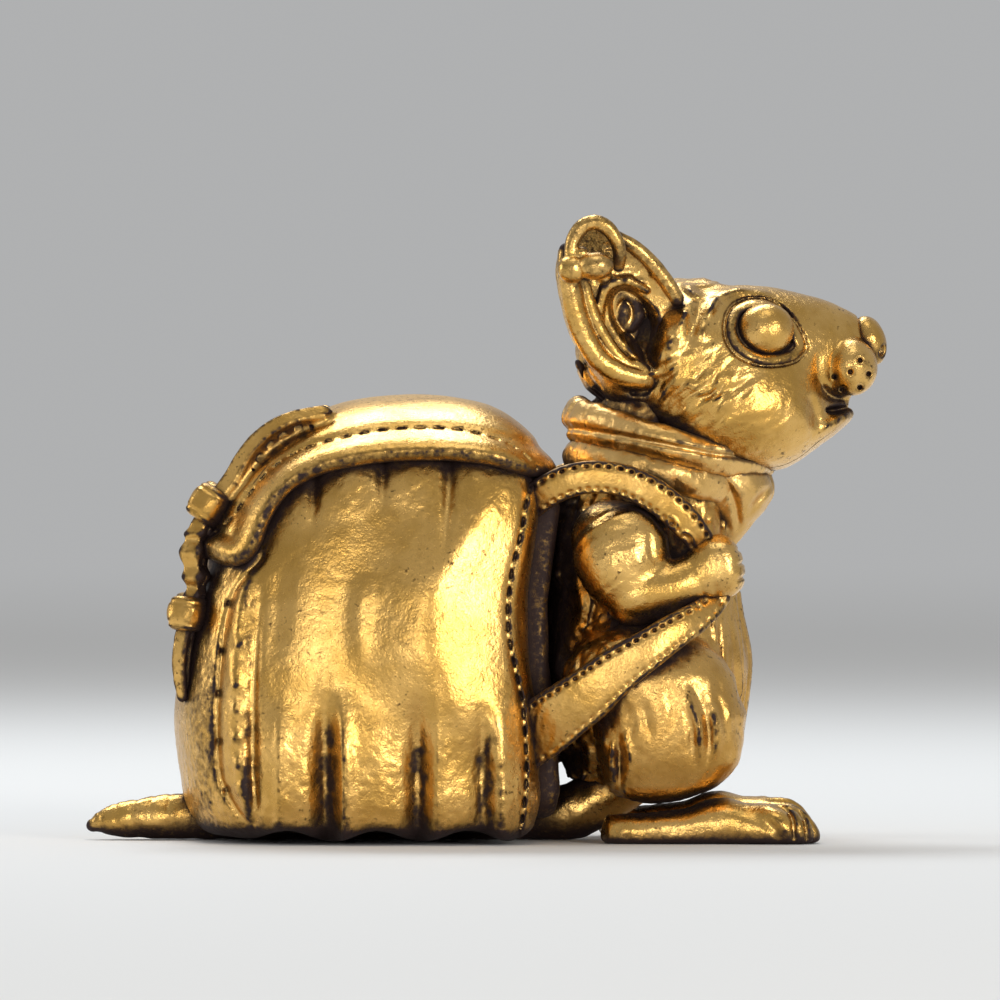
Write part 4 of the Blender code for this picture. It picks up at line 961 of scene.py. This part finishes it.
def head_relief(x, y, z):
    """How far the head's surface stands above its plain form, but for the fur."""
    out = np.abs(y)
    groove = EYE_GROOVE.near(x, z)[0]
    bowl = np.hypot((x - EYE_X) / EYE_WIDE, (z - EYE_Z) / EYE_TALL)
    swell = HEAD_RELIEF(x, z) * (1 + 0.5 * noise(x, out, z, 0.7, 50))
    swell = swell - 0.15 * bump(groove, 0.085) - 0.2 * (1 - step(1, 1.1, bowl))
    swell = swell * step(1.2, 2.4, out + 1.6 * step(17, 18, x))
    swell = swell - 1.3 * step(-0.35, 0.55, -inside_of(EAR_HOLLOW, x, z)) * step(2.5, 3.5, out)
    slot = (1 - step(1.5, 2.9, out)) * (0.22 + 0.78 * step(0.2, 1, out))
    swell = swell + slot * MOUTH(x, z)
    return swell + 0.015 * noise(x, out, z, 1.2, 54) + 0.01 * noise(x, out, z, 0.28, 55)


def head_field(x, y, z):
    """The head, with tufts on its cheeks, nape and crown."""
    out = np.abs(y)
    d = head_plain(x, y, z)
    cheek = bump(np.hypot((x - 10.9) / 1.4, z - 24.2), 1.7)
    low = 1 - step(0, 1.6, np.hypot((x - 12.6) / 1.4, z - 22) - 1.3)
    swell = step(1.5, 3, out) * (0.27 * cheek + 0.06 * low) * fur(x, out, z, 51)
    swell = swell + (1 - step(7.6, 9.6, x)) * 0.26 * strokes(x, out, z, -0.9, 0.42, 1.4, 52)
    crown = 0.1 * step(28.3, 29.3, z) * (1 - step(12.5, 14.5, x))
    swell = swell + crown * strokes(x, out, z, 0.1, 0.34, 0.9, 53)
    d = d - swell - head_relief(x, y, z)
    d = d + 0.08 * bump(nose_bulb(x, y, z) - 0.02, 0.11)
    return d + 0.03 * (1 - step(-0.3, 0.5, chin(x, y, z)))


def jaw_field(x, y, z):
    """The chin, flush with the cheeks, with its lower lip under the mouth."""
    return smax(head_plain(x, y, z) - head_relief(x, y, z), chin(x, y, z) - 1, 0.8)


WHISKER_HOLES = ((18.3, 24.4), (18.7, 23.75), (19.1, 24.65), (19.6, 25.25), (20.05, 24.55), (19.6, 23.85))


def pad_field(x, y, z):
    """A round whisker pad, soft into the muzzle above, with its holes."""
    d = egg(x, y, z, (19.2, 1.6, 24.9), (1.36, 1.6, 1.5))
    head = head_plain(x, y, z) + 0.12
    d = grown(d, head, 0.5, 0.35, 0.25)
    for px, pz in WHISKER_HOLES:
        d = d + 0.28 * bump(np.hypot(x - px, z - pz), 0.13) * step(1.5, 2, y)
    return d - 0.015 * noise(x, y, z, 0.5, 57)


def nose_bulb(x, y, z):
    """The nose without its nostrils."""
    return egg(x, y, z, (20.18, 0, 26.3), (0.86, 1.25, 1.34), 0.3)


def nose_field(x, y, z):
    """A round nose at the snout's tip, with two nostrils."""
    nostril = egg(x, np.abs(y), z, (20.85, 0.62, 25.75), (0.34, 0.3, 0.3))
    return smax(nose_bulb(x, y, z), -nostril, 0.15) - 0.012 * noise(x, y, z, 0.4, 58)


def eye_field(x, y, z):
    """A smooth, bulging eyeball."""
    ball = egg(x, y, z, (EYE_X, EYE_Y, EYE_Z), (EYE_WIDE, EYE_DEEP, EYE_TALL), 0.3)
    return ball - 0.005 * noise(x, y, z, 0.5, 59)


def eyelid_field(x, y, z):
    """A low rim round the eye, between two grooves."""
    gap, _, _ = EYE_EDGE.near(x, z)
    d = np.hypot(gap * 0.85, head_plain(x, y, z) + 0.09) - 0.25
    return smax(d, 1.5 - y, 0.2) - 0.015 * noise(x, y, z, 0.4, 60)


# Ears and hoop

EAR_OUTLINE = Line([
    (4.1, 31.4), (4.9, 32.2), (5.8, 32.5), (6.7, 32.2), (7.9, 31.4), (8.8, 30.7), (9.6, 29.7),
    (10.15, 28.8), (10.3, 28.1), (9.6, 27.7), (9.05, 27.1), (8.85, 26.4), (8.7, 25.6), (8.85, 24.8),
    (8.6, 24), (8, 23.75), (7.2, 23.85), (6.4, 24.25), (5.7, 24.85), (5, 25.55), (4.5, 26.3),
    (4.15, 27.1), (3.9, 28), (3.7, 28.9), (3.55, 29.8), (3.65, 30.7),
], 2, 3, closed=True, reach=3)
EAR_MIDDLE, EAR_TURN, EAR_TILT, EAR_COSINE = (6.64, 5.54, 28.44), 0.232, 0.126, F32(0.967)
# the rim, the inner rim, the fold, the top edge and the curl: lift, softness, then rows of x, z and radius
EAR_RIDGES = (
    (0.22, 0.1, [
        (4.15, 31, 0.36), (4.2, 30.1, 0.5), (4.42, 28.95, 0.58), (4.68, 27.7, 0.6),
        (5.15, 26.45, 0.6), (5.95, 25.25, 0.6), (7.1, 24.5, 0.58), (8.25, 24.25, 0.5),
    ]),
    (0.02, 0.06, [
        (5.1, 29.5, 0.26), (5.35, 28.4, 0.32), (5.72, 27.35, 0.34), (6.35, 26.2, 0.35),
        (7.15, 25.2, 0.35), (8.2, 24.65, 0.32),
    ]),
    (-0.36, 0.16, [
        (6, 26.9, 0.14), (5.95, 28, 0.22), (6.25, 29, 0.28), (6.95, 29.4, 0.3),
        (7.7, 29.3, 0.26), (8.4, 28.9, 0.16),
    ]),
    (-0.05, 0.2, [
        (6.9, 31.7, 0.3), (7.8, 31.15, 0.36), (8.7, 30.3, 0.38), (9.5, 29.3, 0.38), (10, 28.5, 0.36),
    ]),
    (-1.15, 0.1, [
        (6.7, 27.6, 0.2), (6.75, 28.3, 0.26), (7.2, 28.7, 0.28), (7.75, 28.35, 0.28),
        (7.9, 27.6, 0.26), (7.6, 27, 0.18),
    ]),
)
EAR_HOLLOW = Line([
    (6.4, 28.4), (6.75, 29), (7.3, 29.1), (8.2, 28.6), (8.9, 27.8), (9.1, 27.1), (9, 26.3),
    (8.8, 25.4), (8.9, 24.9), (8.4, 24.9), (7.6, 25.7), (6.9, 26.6), (6.45, 27.5),
], 2, 3, closed=True, reach=2.5)


def inside_of(line, x, z):
    """Signed distance in the side view to a closed line, negative within it."""
    gap = line.near(x, z)[0]
    px, pz = line.points[:, 0], line.points[:, 1]
    within = np.zeros(x.shape, bool)
    rows = np.flatnonzero((x > line.low[0]) & (x < line.high[0]) & (z > line.low[1]) & (z < line.high[1]))
    xs, zs = x.reshape(-1)[rows], z.reshape(-1)[rows]
    odd = np.zeros(len(rows), bool)
    for k in range(len(px) - 1):
        if pz[k] == pz[k + 1]:
            continue
        spans = (pz[k] > zs) != (pz[k + 1] > zs)
        odd ^= spans & (xs < px[k] + (zs - pz[k]) * (px[k + 1] - px[k]) / (pz[k + 1] - pz[k]))
    within.reshape(-1)[rows] = odd
    return np.where(within, -gap, gap)


def ear_height(x, y, z):
    """How far a point stands out of the ear's tilted middle plane."""
    plane = EAR_MIDDLE[1] - EAR_TURN * (x - EAR_MIDDLE[0]) + EAR_TILT * (z - EAR_MIDDLE[2])
    return (y - plane) * EAR_COSINE


def ridge(x, w, z, rows, lift):
    """Distance to a round ridge along a line on the ear's face."""
    line = Line(rows, 2, 3, reach=2)
    gap, _, _, radius = line.near(x, z)
    return np.where(gap < line.reach, np.hypot(gap, w - lift) - radius, 2)


def ear_field(x, y, z):
    """A cupped ear: a fat rim, a fold, a deep hollow with a curl in it."""
    w = ear_height(x, y, z)
    outline = inside_of(EAR_OUTLINE, x, z)
    hollow = inside_of(EAR_HOLLOW, x, z)
    face = -0.15 - 0.25 * step(0.2, 1.6, -outline) - 1.1 * step(-0.1, 0.6, -hollow)
    face = face + 0.12 * noise(x, w, z, 0.8, 64) * step(28.9, 29.6, z)
    back = -1.05 - 0.75 * step(0.2, 2.2, -outline)
    slab = smax(w - face, back - w, 0.3) * F32(0.85)
    d = smax(slab, outline + 0.1, 0.35)
    for lift, soft, rows in EAR_RIDGES:
        d = smin(d, ridge(x, w, z, rows, lift), soft)
    d = smin(d, egg(x, w, z, (7.2, -1.2, 27.6), (0.45, 0.35, 0.75)), 0.12)
    head = head_plain(x, y, z) + 0.08
    d = grown(d, head, 0.25, 0.12, 0.12)
    rough = 0.012 + 0.07 * step(28.9, 29.6, z) * step(0.6, 1.1, -outline)
    return d - rough * noise(x, y, z, 0.3, 61) - 0.015 * noise(x, y, z, 0.8, 62)


HOOP_Y = 7.35
HOOP = [
    (4.5, 0.05, 30.2, 0.36), (4.42, 0.05, 30.9, 0.37), (4.55, 0, 31.6, 0.38), (5, -0.05, 32.2, 0.4),
    (5.65, -0.08, 32.45, 0.41), (6.3, -0.12, 32.15, 0.4), (6.78, -0.25, 31.5, 0.38),
    (6.95, -0.5, 30.8, 0.36), (6.9, -1, 30.2, 0.34),
]
# the knot's lobes: centre, half sizes, lean and softness
HOOP_LOBES = (
    ((4.44, 0.12, 30), (0.76, 0.76, 0.74), -0.4, 0.16),
    ((5.68, 0.34, 30.15), (0.96, 0.88, 0.74), 0.05, 0.1),
    ((6.1, 0.1, 29.6), (0.36, 0.4, 0.36), 0, 0.16),
    ((4.95, 0, 30.85), (0.42, 0.5, 0.34), 0, 0.12),
)


def hoop_field(x, y, z):
    """A thick ring through the ear's tip, ending in a knot of round lobes."""
    y = y - HOOP_Y
    d = tube(x, y, z, HOOP, 3)
    for centre, half, lean, soft in HOOP_LOBES:
        d = smin(d, egg(x, y, z, centre, half, lean), soft)
    return d - 0.02 * noise(x, y, z, 0.6, 63)


# Neckerchief

def roll(x, y, z, back, front, half_width, high_back, high_front, tall_back, tall_front, thick):
    """A roll of cloth round the neck: distance, turn about the neck, height on it and how far forward."""
    middle, reach = (back + front) / 2, (front - back) / 2
    turn = np.arctan2(y / half_width, (x - middle) / reach)
    cosine, sine = np.cos(turn), np.sin(turn)
    forward = (1 + cosine) / 2
    path_x, path_y = middle + reach * cosine, half_width * sine
    path_z = high_back + (high_front - high_back) * forward
    tall = tall_back + (tall_front - tall_back) * forward
    out = np.hypot(x - middle, y) - np.hypot(path_x - middle, path_y)
    up = z - path_z - 0.2 * out
    return rounded((out, up), (thick, tall)), turn, up / tall, forward


def collar_field(x, y, z):
    """The neckerchief's rolled edge, with long creases round it."""
    d, turn, up, forward = roll(
        x, y, z, back=4.95, front=14.25, half_width=4.85, high_back=21.98, high_front=19.5,
        tall_back=1.36, tall_front=0.66, thick=0.95)
    wander = 0.15 * noise(turn * 1.5, up * 0, z * 0, 1, 70)
    swell = -0.2 * bump(up + 0.3 - 0.4 * forward + wander, 0.16)
    swell = swell + 0.09 * noise(turn * 2.6, up * 0.7, z * 0, 1, 71)
    swell = swell + 0.06 * noise(turn * 9, up * 1.6, z * 0, 1, 78)
    return d - swell - 0.03 * noise(x, y, z, 0.36, 72)


def wrap_field(x, y, z):
    """The band of cloth under the roll."""
    d, turn, up, _ = roll(
        x, y, z, back=4.85, front=13.2, half_width=4.8, high_back=20.05, high_front=18.5,
        tall_back=1.1, tall_front=0.8, thick=0.8)
    swell = 0.08 * noise(turn * 3, up, z * 0, 1, 73) + 0.06 * noise(turn * 8, up * 1.6, z * 0, 1, 79)
    return d - swell - 0.03 * noise(x, y, z, 0.36, 74)


POINT = Loft(even([
    (15.3, 12.3, 13.1, 0.5), (15.7, 11.4, 13.4, 1.1), (16.6, 10.9, 14.1, 2.1), (17.5, 10.3, 14.8, 3),
    (18.4, 9.9, 15.2, 3.7), (19.2, 9.8, 15, 3.9), (19.7, 10.2, 14.4, 3.4),
]), 2.2)
# where a fold runs on the front, and its height
POINT_FOLDS = ((0, -0.18), (0.9, -0.1))
POINT_RELIEF = Relief(
    [(10, 18.9, 0, 0.2), (11.2, 18, -0.22, 0.2), (12.3, 16.9, -0.22, 0.18), (12.9, 16.2, 0, 0.16)],
    [(12.3, 19, 0, 0.2), (12.9, 18.2, -0.2, 0.2), (13.2, 17, -0.14, 0.18), (13.2, 16, 0, 0.16)],
    [(15.2, 18.8, 0, 0.2), (14.3, 18, -0.22, 0.2), (13.7, 17, 0, 0.18)],
    [(10.8, 18.8, 0, 0.4), (11.6, 18.3, 0.16, 0.4), (12.4, 17.4, 0, 0.3)],
)


def point_field(x, y, z):
    """The neckerchief's tip, hanging in folds under the chin."""
    out = np.abs(y)
    swell = step(0.8, 2.2, out) * POINT_RELIEF(x, z) + 0.04 * strokes(x, out, z, -0.9, 0.5, 2, 75)
    for place, depth in POINT_FOLDS:
        swell = swell + depth * bump(out - place * (z - 14.5) / 4, 0.22) * step(12.8, 13.6, x)
    return POINT(z, x, y) - swell - 0.015 * noise(x, y, z, 0.45, 76)


# Tail

TAIL_RING_PITCH = 0.95
TAIL = [
    (-20.72, 0, 0.78, 0.36), (-20.2, 0, 0.95, 0.66), (-19.2, 0, 1.05, 0.92), (-17.8, 0, 1.16, 1.1),
    (-16, 0, 1.22, 1.22), (-13, 0, 1.2, 1.24), (-8, 0, 1.19, 1.25), (-2, 0, 1.2, 1.25),
    (2, 0, 1.25, 1.33), (4.8, 0, 1.6, 1.5), (7.4, 0, 3.3, 1.6),
]


def tail_field(x, y, z):
    """The tail, under the rucksack and bare behind it, where it has rings."""
    d = tube(x, y, z, TAIL, 3)
    rings = bump(((x + 0.35 * noise(x, y, z, 1.4, 81)) / TAIL_RING_PITCH) % 1 - 0.5, 0.14)
    d = d + 0.045 * rings * (1 - step(-16.6, -15.6, x)) * step(0.4, 1, z)
    return smax(d - 0.05 * noise(x, y, z, 0.7, 82) - 0.012 * noise(x, y, z, 0.28, 83), 0.02 - z, 0.1)


# The pieces

ALONE, PAIR, RIGHT_ONLY = [("", False)], [("_left", False), ("_right", True)], [("", True)]
PIECES = [
    # name, field, cell, margin, slot, and each side's ending with whether it is mirrored
    ("bag_body", bag_field, 0.1, 0.8, "bag_brass", ALONE),
    ("bag_flap", flap_field, 0.085, 0.8, "bag_brass", ALONE),
    ("bag_back_panel", panel_field, 0.13, 0.8, "bag_brass", ALONE),
    ("torso", torso_field, 0.11, 0.9, "fur_brass", ALONE),
    ("tail", tail_field, 0.11, 0.6, "skin_brass", ALONE),
    ("head", head_field, 0.085, 0.8, "skin_brass", ALONE),
    ("lower_jaw", jaw_field, 0.08, 0.8, "skin_brass", ALONE),
    ("nose", nose_field, 0.06, 0.6, "skin_brass", ALONE),
    ("scarf_collar", collar_field, 0.09, 0.8, "scarf_brass", ALONE),
    ("scarf_wrap", wrap_field, 0.09, 0.8, "scarf_brass", ALONE),
    ("scarf_point", point_field, 0.09, 0.8, "scarf_brass", ALONE),
    ("leg", leg_field, 0.1, 0.9, "fur_brass", PAIR),
    ("foot", foot_field, 0.09, 0.6, "skin_brass", PAIR),
    ("arm", arm_field, 0.09, 0.9, "skin_brass", PAIR),
    ("hand", hand_field, 0.08, 0.8, "skin_brass", PAIR),
    ("shoulder_strap_upper", upper_strap_field, 0.065, 0.9, "strap_brass", PAIR),
    ("shoulder_strap_lower", lower_strap_field, 0.065, 0.9, "strap_brass", PAIR),
    ("flap_strap", flap_strap_field, 0.065, 0.9, "strap_brass", PAIR),
    ("keeper_upper", keeper_field(-14.45, 17.65, 0.95, lean=0.98), 0.07, 0.9, "strap_brass", PAIR),
    ("keeper_lower", keeper_field(-15.55, 12, 0.9, lean=1.45), 0.07, 0.9, "strap_brass", PAIR),
    ("whisker_pad", pad_field, 0.06, 0.6, "skin_brass", PAIR),
    ("eye", eye_field, 0.06, 0.6, "skin_brass", PAIR),
    ("eyelid", eyelid_field, 0.06, 0.7, "skin_brass", PAIR),
    ("ear", ear_field, 0.07, 1, "skin_brass", PAIR),
    ("ear_ring", hoop_field, 0.06, 1, "ring_brass", RIGHT_ONLY),
]


def job_of(name, field, cell, margin, sides):
    """What a mesh is built from: a pair's left piece, and a right piece as its mirror image."""
    ending, mirrored = sides[0]
    ends = np.array(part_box(name + ending)) / MM
    if mirrored:
        ends[:, 1] = -ends[::-1, 1]
    return field, ends[0] - margin, ends[1] + margin, cell * FINE


# Brass

class Tree:
    """A new material's nodes."""

    def __init__(self, name):
        self.material = bpy.data.materials.new(name)
        self.material.use_nodes = True
        self.nodes, self.links = self.material.node_tree.nodes, self.material.node_tree.links
        self.shader = self.nodes["Principled BSDF"]

    def put(self, socket, value):
        """Links an output to a socket, or sets its number or colour."""
        if isinstance(value, bpy.types.NodeSocket):
            self.links.new(value, socket)
        elif isinstance(value, tuple):
            socket.default_value = (*value, 1)
        elif value is not None:
            socket.default_value = value

    def node(self, kind, inputs, **settings):
        """Adds a node, with its inputs by name or place and its settings by name."""
        made = self.nodes.new("ShaderNode" + kind)
        for key, value in settings.items():
            setattr(made, key, value)
        for key, value in inputs.items():
            self.put(made.inputs[key], value)
        return made

    def maths(self, operation, first, second=None, clamp=False):
        return self.node("Math", {0: first, 1: second}, operation=operation, use_clamp=clamp).outputs[0]

    def shifted(self, total, value, amount):
        """A total moved up and down by a value that runs from 0 to 1."""
        return self.maths("ADD", total, self.maths("MULTIPLY", self.maths("SUBTRACT", value, 0.5), amount))

    def ranged(self, value, low, high, out_low=0, out_high=1):
        """A value carried smoothly from one range to another."""
        inputs = {"Value": value, "From Min": low, "From Max": high, "To Min": out_low, "To Max": out_high}
        return self.node("MapRange", inputs, interpolation_type="SMOOTHSTEP").outputs["Result"]

    def texture(self, place, scale, detail, rough=0.6):
        inputs = {"Scale": scale, "Detail": detail, "Roughness": rough, "Vector": place}
        return self.node("TexNoise", inputs).outputs["Fac"]

    def mix(self, factor, first, second):
        return self.node("Mix", {"Factor": factor, 6: first, 7: second}, data_type="RGBA").outputs[2]


# the darkest patina and the tint of stained brass, both also used for the painted shade that some bag
# pieces add to their wide hollow
DARK = (0.027, 0.012, 0.01)
STAIN_AND_SHADE_TINT = (0.37, 0.38, 0.48)
RUBBED_GAIN = 1.12
CLOUD_SCALE, GRIT_SCALE, GRAIN_SCALE = 280, 3000, 8000
SHUT_REACH = 0.0016
BUMP_HEIGHT, BUMP_STRENGTH = 0.00006, 0.6


def brass(name, bright, worn, shine, dull, wear=1):
    """Cast brass: rubbed bright where it stands proud, with dark patina left in the hollows, and painted
    shade where a piece adds it to its wide hollow.
    """
    tree = Tree(name)
    maths, ranged = tree.maths, tree.ranged
    place = tree.node("TexCoord", {}).outputs["Object"]
    near = tree.node("Attribute", {}, attribute_name="near_hollow").outputs["Fac"]
    wide = tree.node("Attribute", {}, attribute_name="wide_hollow_and_shade").outputs["Fac"]
    shut = tree.node("AmbientOcclusion", {"Distance": SHUT_REACH}, samples=6).outputs["AO"]
    cloud = tree.texture(place, CLOUD_SCALE, 4)
    grit = tree.texture(place, GRIT_SCALE, 3, 0.65)
    grain = tree.texture(place, GRAIN_SCALE, 2)

    # how deep a point lies in patina, from its hollows in millimetres and from how shut in it is; on some
    # bag pieces the wide hollow also carries painted shade
    hollow = maths("ADD", ranged(near, 0.004, 0.04, 0, 0.75), ranged(wide, 0.015, 0.13, 0, 0.85))
    depth = maths("ADD", hollow, ranged(shut, 0.86, 0.4))
    broken = tree.shifted(tree.shifted(depth, grit, 1.3), cloud, 0.5)
    stain_and_shade = ranged(broken, 0.1, 0.55)
    black = ranged(broken, 0.45, 0.92)
    pits = maths("MULTIPLY", ranged(grit, 0.6, 0.7), ranged(cloud, 0.46, 0.62))
    pits = maths("MULTIPLY", pits, ranged(near, -0.008, 0.002, 0, 0.85))
    rubbed = ranged(near, -0.003, -0.022)

    stain_and_shade_colour = tuple(c * part for c, part in zip(worn, STAIN_AND_SHADE_TINT))
    body = tree.mix(ranged(cloud, 0.36, 0.64), worn, bright)
    body = tree.mix(rubbed, body, tuple(min(1, c * RUBBED_GAIN) for c in bright))
    # the stain and black masks show patina, and painted shade where the wide hollow carries it
    body = tree.mix(maths("MULTIPLY", stain_and_shade, 0.75 * wear), body, stain_and_shade_colour)
    body = tree.mix(maths("MAXIMUM", maths("MULTIPLY", black, wear), pits), body, DARK)
    tree.put(tree.shader.inputs["Base Color"], body)
    rough = maths("ADD", maths("MULTIPLY", black, dull - shine), shine)
    uneven = maths("MULTIPLY", maths("SUBTRACT", grit, 0.5), 0.18)
    tree.put(tree.shader.inputs["Roughness"], maths("ADD", rough, uneven, clamp=True))
    tree.put(tree.shader.inputs["Metallic"], ranged(black, 0.4, 1, 1, 0.45))

    relief = maths("ADD", maths("MULTIPLY", grit, 0.8), maths("MULTIPLY", grain, 0.5))
    height = tree.node("Bump", {"Strength": BUMP_STRENGTH, "Distance": BUMP_HEIGHT, "Height": relief})
    tree.put(tree.shader.inputs["Normal"], height.outputs["Normal"])
    return tree.material


# bright and worn colour, roughness where rubbed and where black, and how much patina and painted shade show
LOOKS = {
    "skin_brass": ((0.81, 0.5, 0.16), (0.62, 0.355, 0.085), 0.26, 0.64),
    "fur_brass": ((0.78, 0.465, 0.14), (0.56, 0.305, 0.072), 0.29, 0.68),
    "scarf_brass": ((0.84, 0.53, 0.19), (0.69, 0.42, 0.13), 0.3, 0.64, 0.8),
    "bag_brass": ((0.78, 0.47, 0.14), (0.58, 0.33, 0.078), 0.29, 0.66),
    "strap_brass": ((0.78, 0.47, 0.14), (0.58, 0.325, 0.075), 0.31, 0.68),
    "ring_brass": ((0.82, 0.51, 0.17), (0.66, 0.39, 0.1), 0.27, 0.55),
}
BRASS = {name: brass(name, *look) for name, look in LOOKS.items()}


# x and top of each crease between the bag's lobes
FOOT_CREASES = ((-8.25, 8.4), (-3.5, 7.6), (-0.1, 7.4))


def bag_shade_and_patina(x, y, z):
    """Painted shade on the bag's rear corners, which turn away from the light, patina in the creases of its
    foot and along the rear ridge, and darker towards the bottom.
    """
    out = np.abs(y)
    # painted shade on the rear corners, which turn away from the light
    darkening = 0.075 * (0.4 + 0.6 * step(4.5, 8, out)) * step(13.7, 14.6, -x)
    sway = 0.16 * noise(x * 0, out * 0, z, 1.1, 90)
    broken = 1 + 0.7 * noise(x, out, z, 0.45, 91)
    for place, top in FOOT_CREASES:
        darkening = darkening + 0.14 * broken * bump(x - place + sway, 0.38) * (1 - step(top - 3, top, z))
    darkening = darkening + 0.07 * broken * bump(x + 12.2, 0.45) * step(3, 8, out)
    # darker towards the bottom
    return darkening + 0.04 * (1 - step(0.3, 1.8, z))


def hem_painted_shade(x, y, z):
    """Painted shade under the flap's rolled hem, on the roll's underside."""
    return 0.048 * (1 - step(0.2, 1, HEM.near(x, z)[0]))


def panel_painted_shade(x, y, z):
    """Painted shade all over the panel, which lies in shadow between the bag and the back."""
    return np.full_like(x, 0.11)


def ear_soot(x, y, z):
    """Patina deep in the ear."""
    return 0.07 * (1 - step(-0.3, 0.3, inside_of(EAR_HOLLOW, x, z)))


# painted shade and patina that some pieces add to their wide hollow
SHADE_AND_PATINA = {"bag_body": bag_shade_and_patina, "bag_flap": hem_painted_shade, "bag_back_panel": panel_painted_shade, "ear": ear_soot}


def dress():
    """Builds every piece's mesh, four at a time, and puts it in its node's place."""
    jobs = [job_of(name, field, cell, margin, sides) for name, field, cell, margin, _, sides in PIECES]
    with ThreadPoolExecutor(4) as pool:
        made = list(pool.map(build, jobs))
    for (name, _, _, _, slot, sides), (points, faces, near, wide) in zip(PIECES, made):
        # painted shade and patina added to the wide hollow
        if name in SHADE_AND_PATINA:
            wide = wide + SHADE_AND_PATINA[name](*points.T.astype(F32))
        for ending, mirrored in sides:
            piece = make_object(name + ending + "_cast", points, faces, near, wide, mirrored)
            piece.data.materials.append(BRASS[slot])
            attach(piece, "root")
            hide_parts(name + ending)


dress()


# Floor, light and camera

FAR_LIGHT = (0.94, 0.95, 0.96)
FAR_STRENGTH = 0.46
FLOOR_COLOUR, FLOOR_ROUGHNESS = (0.78, 0.77, 0.75), 0.75
FLOOR_REACH = 4
FADE_START, FADE_END = 0.12, 1.1
LAMPS = (
    # name, place, height it points at, size, power in watts, colour
    ("key", (0.25, -0.34, 0.1), 0.015, (0.13, 0.14), 0.68, (1, 0.98, 0.94)),
    ("front", (-0.06, -0.42, 0.06), 0.015, (0.12, 0.09), 0.22, (1, 0.98, 0.95)),
    ("top_back", (-0.05, 0.17, 0.27), 0.02, (0.2, 0.1), 0.6, (0.88, 0.94, 1)),
    ("top", (0.02, -0.06, 0.34), 0.015, (0.16, 0.12), 0.12, (0.96, 0.98, 1)),
    ("left", (-0.3, 0.02, 0.1), 0.015, (0.08, 0.14), 0.15, (1, 1, 1)),
)
SENSOR = 36
VIEW_WIDTH = 0.0527
DISTANCE = 0.7
ELEVATION = math.radians(0.5)
TARGET = Vector((0.00071, 0, 0.0179))


def aim(thing, place, target):
    """Puts a lamp or the camera at a place, looking at a target."""
    thing.location = place
    thing.rotation_euler = (Vector(target) - Vector(place)).to_track_quat("-Z", "Y").to_euler()


def stage():
    """A pale floor that melts into the studio's far light, so that no horizon shows."""
    mesh = bpy.data.meshes.new("floor")
    ends = [(-1, -1), (1, -1), (1, 1), (-1, 1)]
    mesh.from_pydata([(x * FLOOR_REACH, y * FLOOR_REACH, 0) for x, y in ends], [], [(0, 1, 2, 3)])
    floor = add_object("floor", mesh)
    tree = Tree("pale_floor")
    tree.put(tree.shader.inputs["Base Color"], FLOOR_COLOUR)
    tree.put(tree.shader.inputs["Roughness"], FLOOR_ROUGHNESS)
    glow = tree.node("Emission", {"Color": FAR_LIGHT, "Strength": FAR_STRENGTH})
    place = tree.node("NewGeometry", {}).outputs["Position"]
    reached = tree.node("VectorMath", {0: place}, operation="LENGTH").outputs["Value"]
    fade = tree.ranged(reached, FADE_START, FADE_END)
    both = tree.node("MixShader", {0: fade, 1: tree.shader.outputs[0], 2: glow.outputs[0]})
    tree.put(tree.nodes["Material Output"].inputs["Surface"], both.outputs[0])
    mesh.materials.append(tree.material)


def studio():
    """Soft lamps and an even pale light from all round."""
    for name, place, height, size, power, colour in LAMPS:
        data = bpy.data.lights.new(name, "AREA")
        data.shape = "RECTANGLE"
        data.size, data.size_y = size
        data.energy = power
        data.color = colour
        aim(add_object(name, data), place, (0, 0, height))
    world = bpy.data.worlds.new("studio")
    world.use_nodes = True
    background = world.node_tree.nodes["Background"].inputs
    background["Color"].default_value = (*FAR_LIGHT, 1)
    background["Strength"].default_value = FAR_STRENGTH
    bpy.context.scene.world = world
    bpy.context.scene.view_settings.view_transform = "Standard"


def photo_camera():
    """The photograph's view, from the mouse's right and just above the floor."""
    data = bpy.data.cameras.new("camera")
    data.sensor_width = SENSOR
    data.lens = SENSOR * DISTANCE / VIEW_WIDTH
    data.clip_start = 0.01
    camera = add_object("camera", data)
    aim(camera, TARGET + Vector((0, -math.cos(ELEVATION), math.sin(ELEVATION))) * DISTANCE, TARGET)
    bpy.context.scene.camera = camera


stage()
studio()
photo_camera()
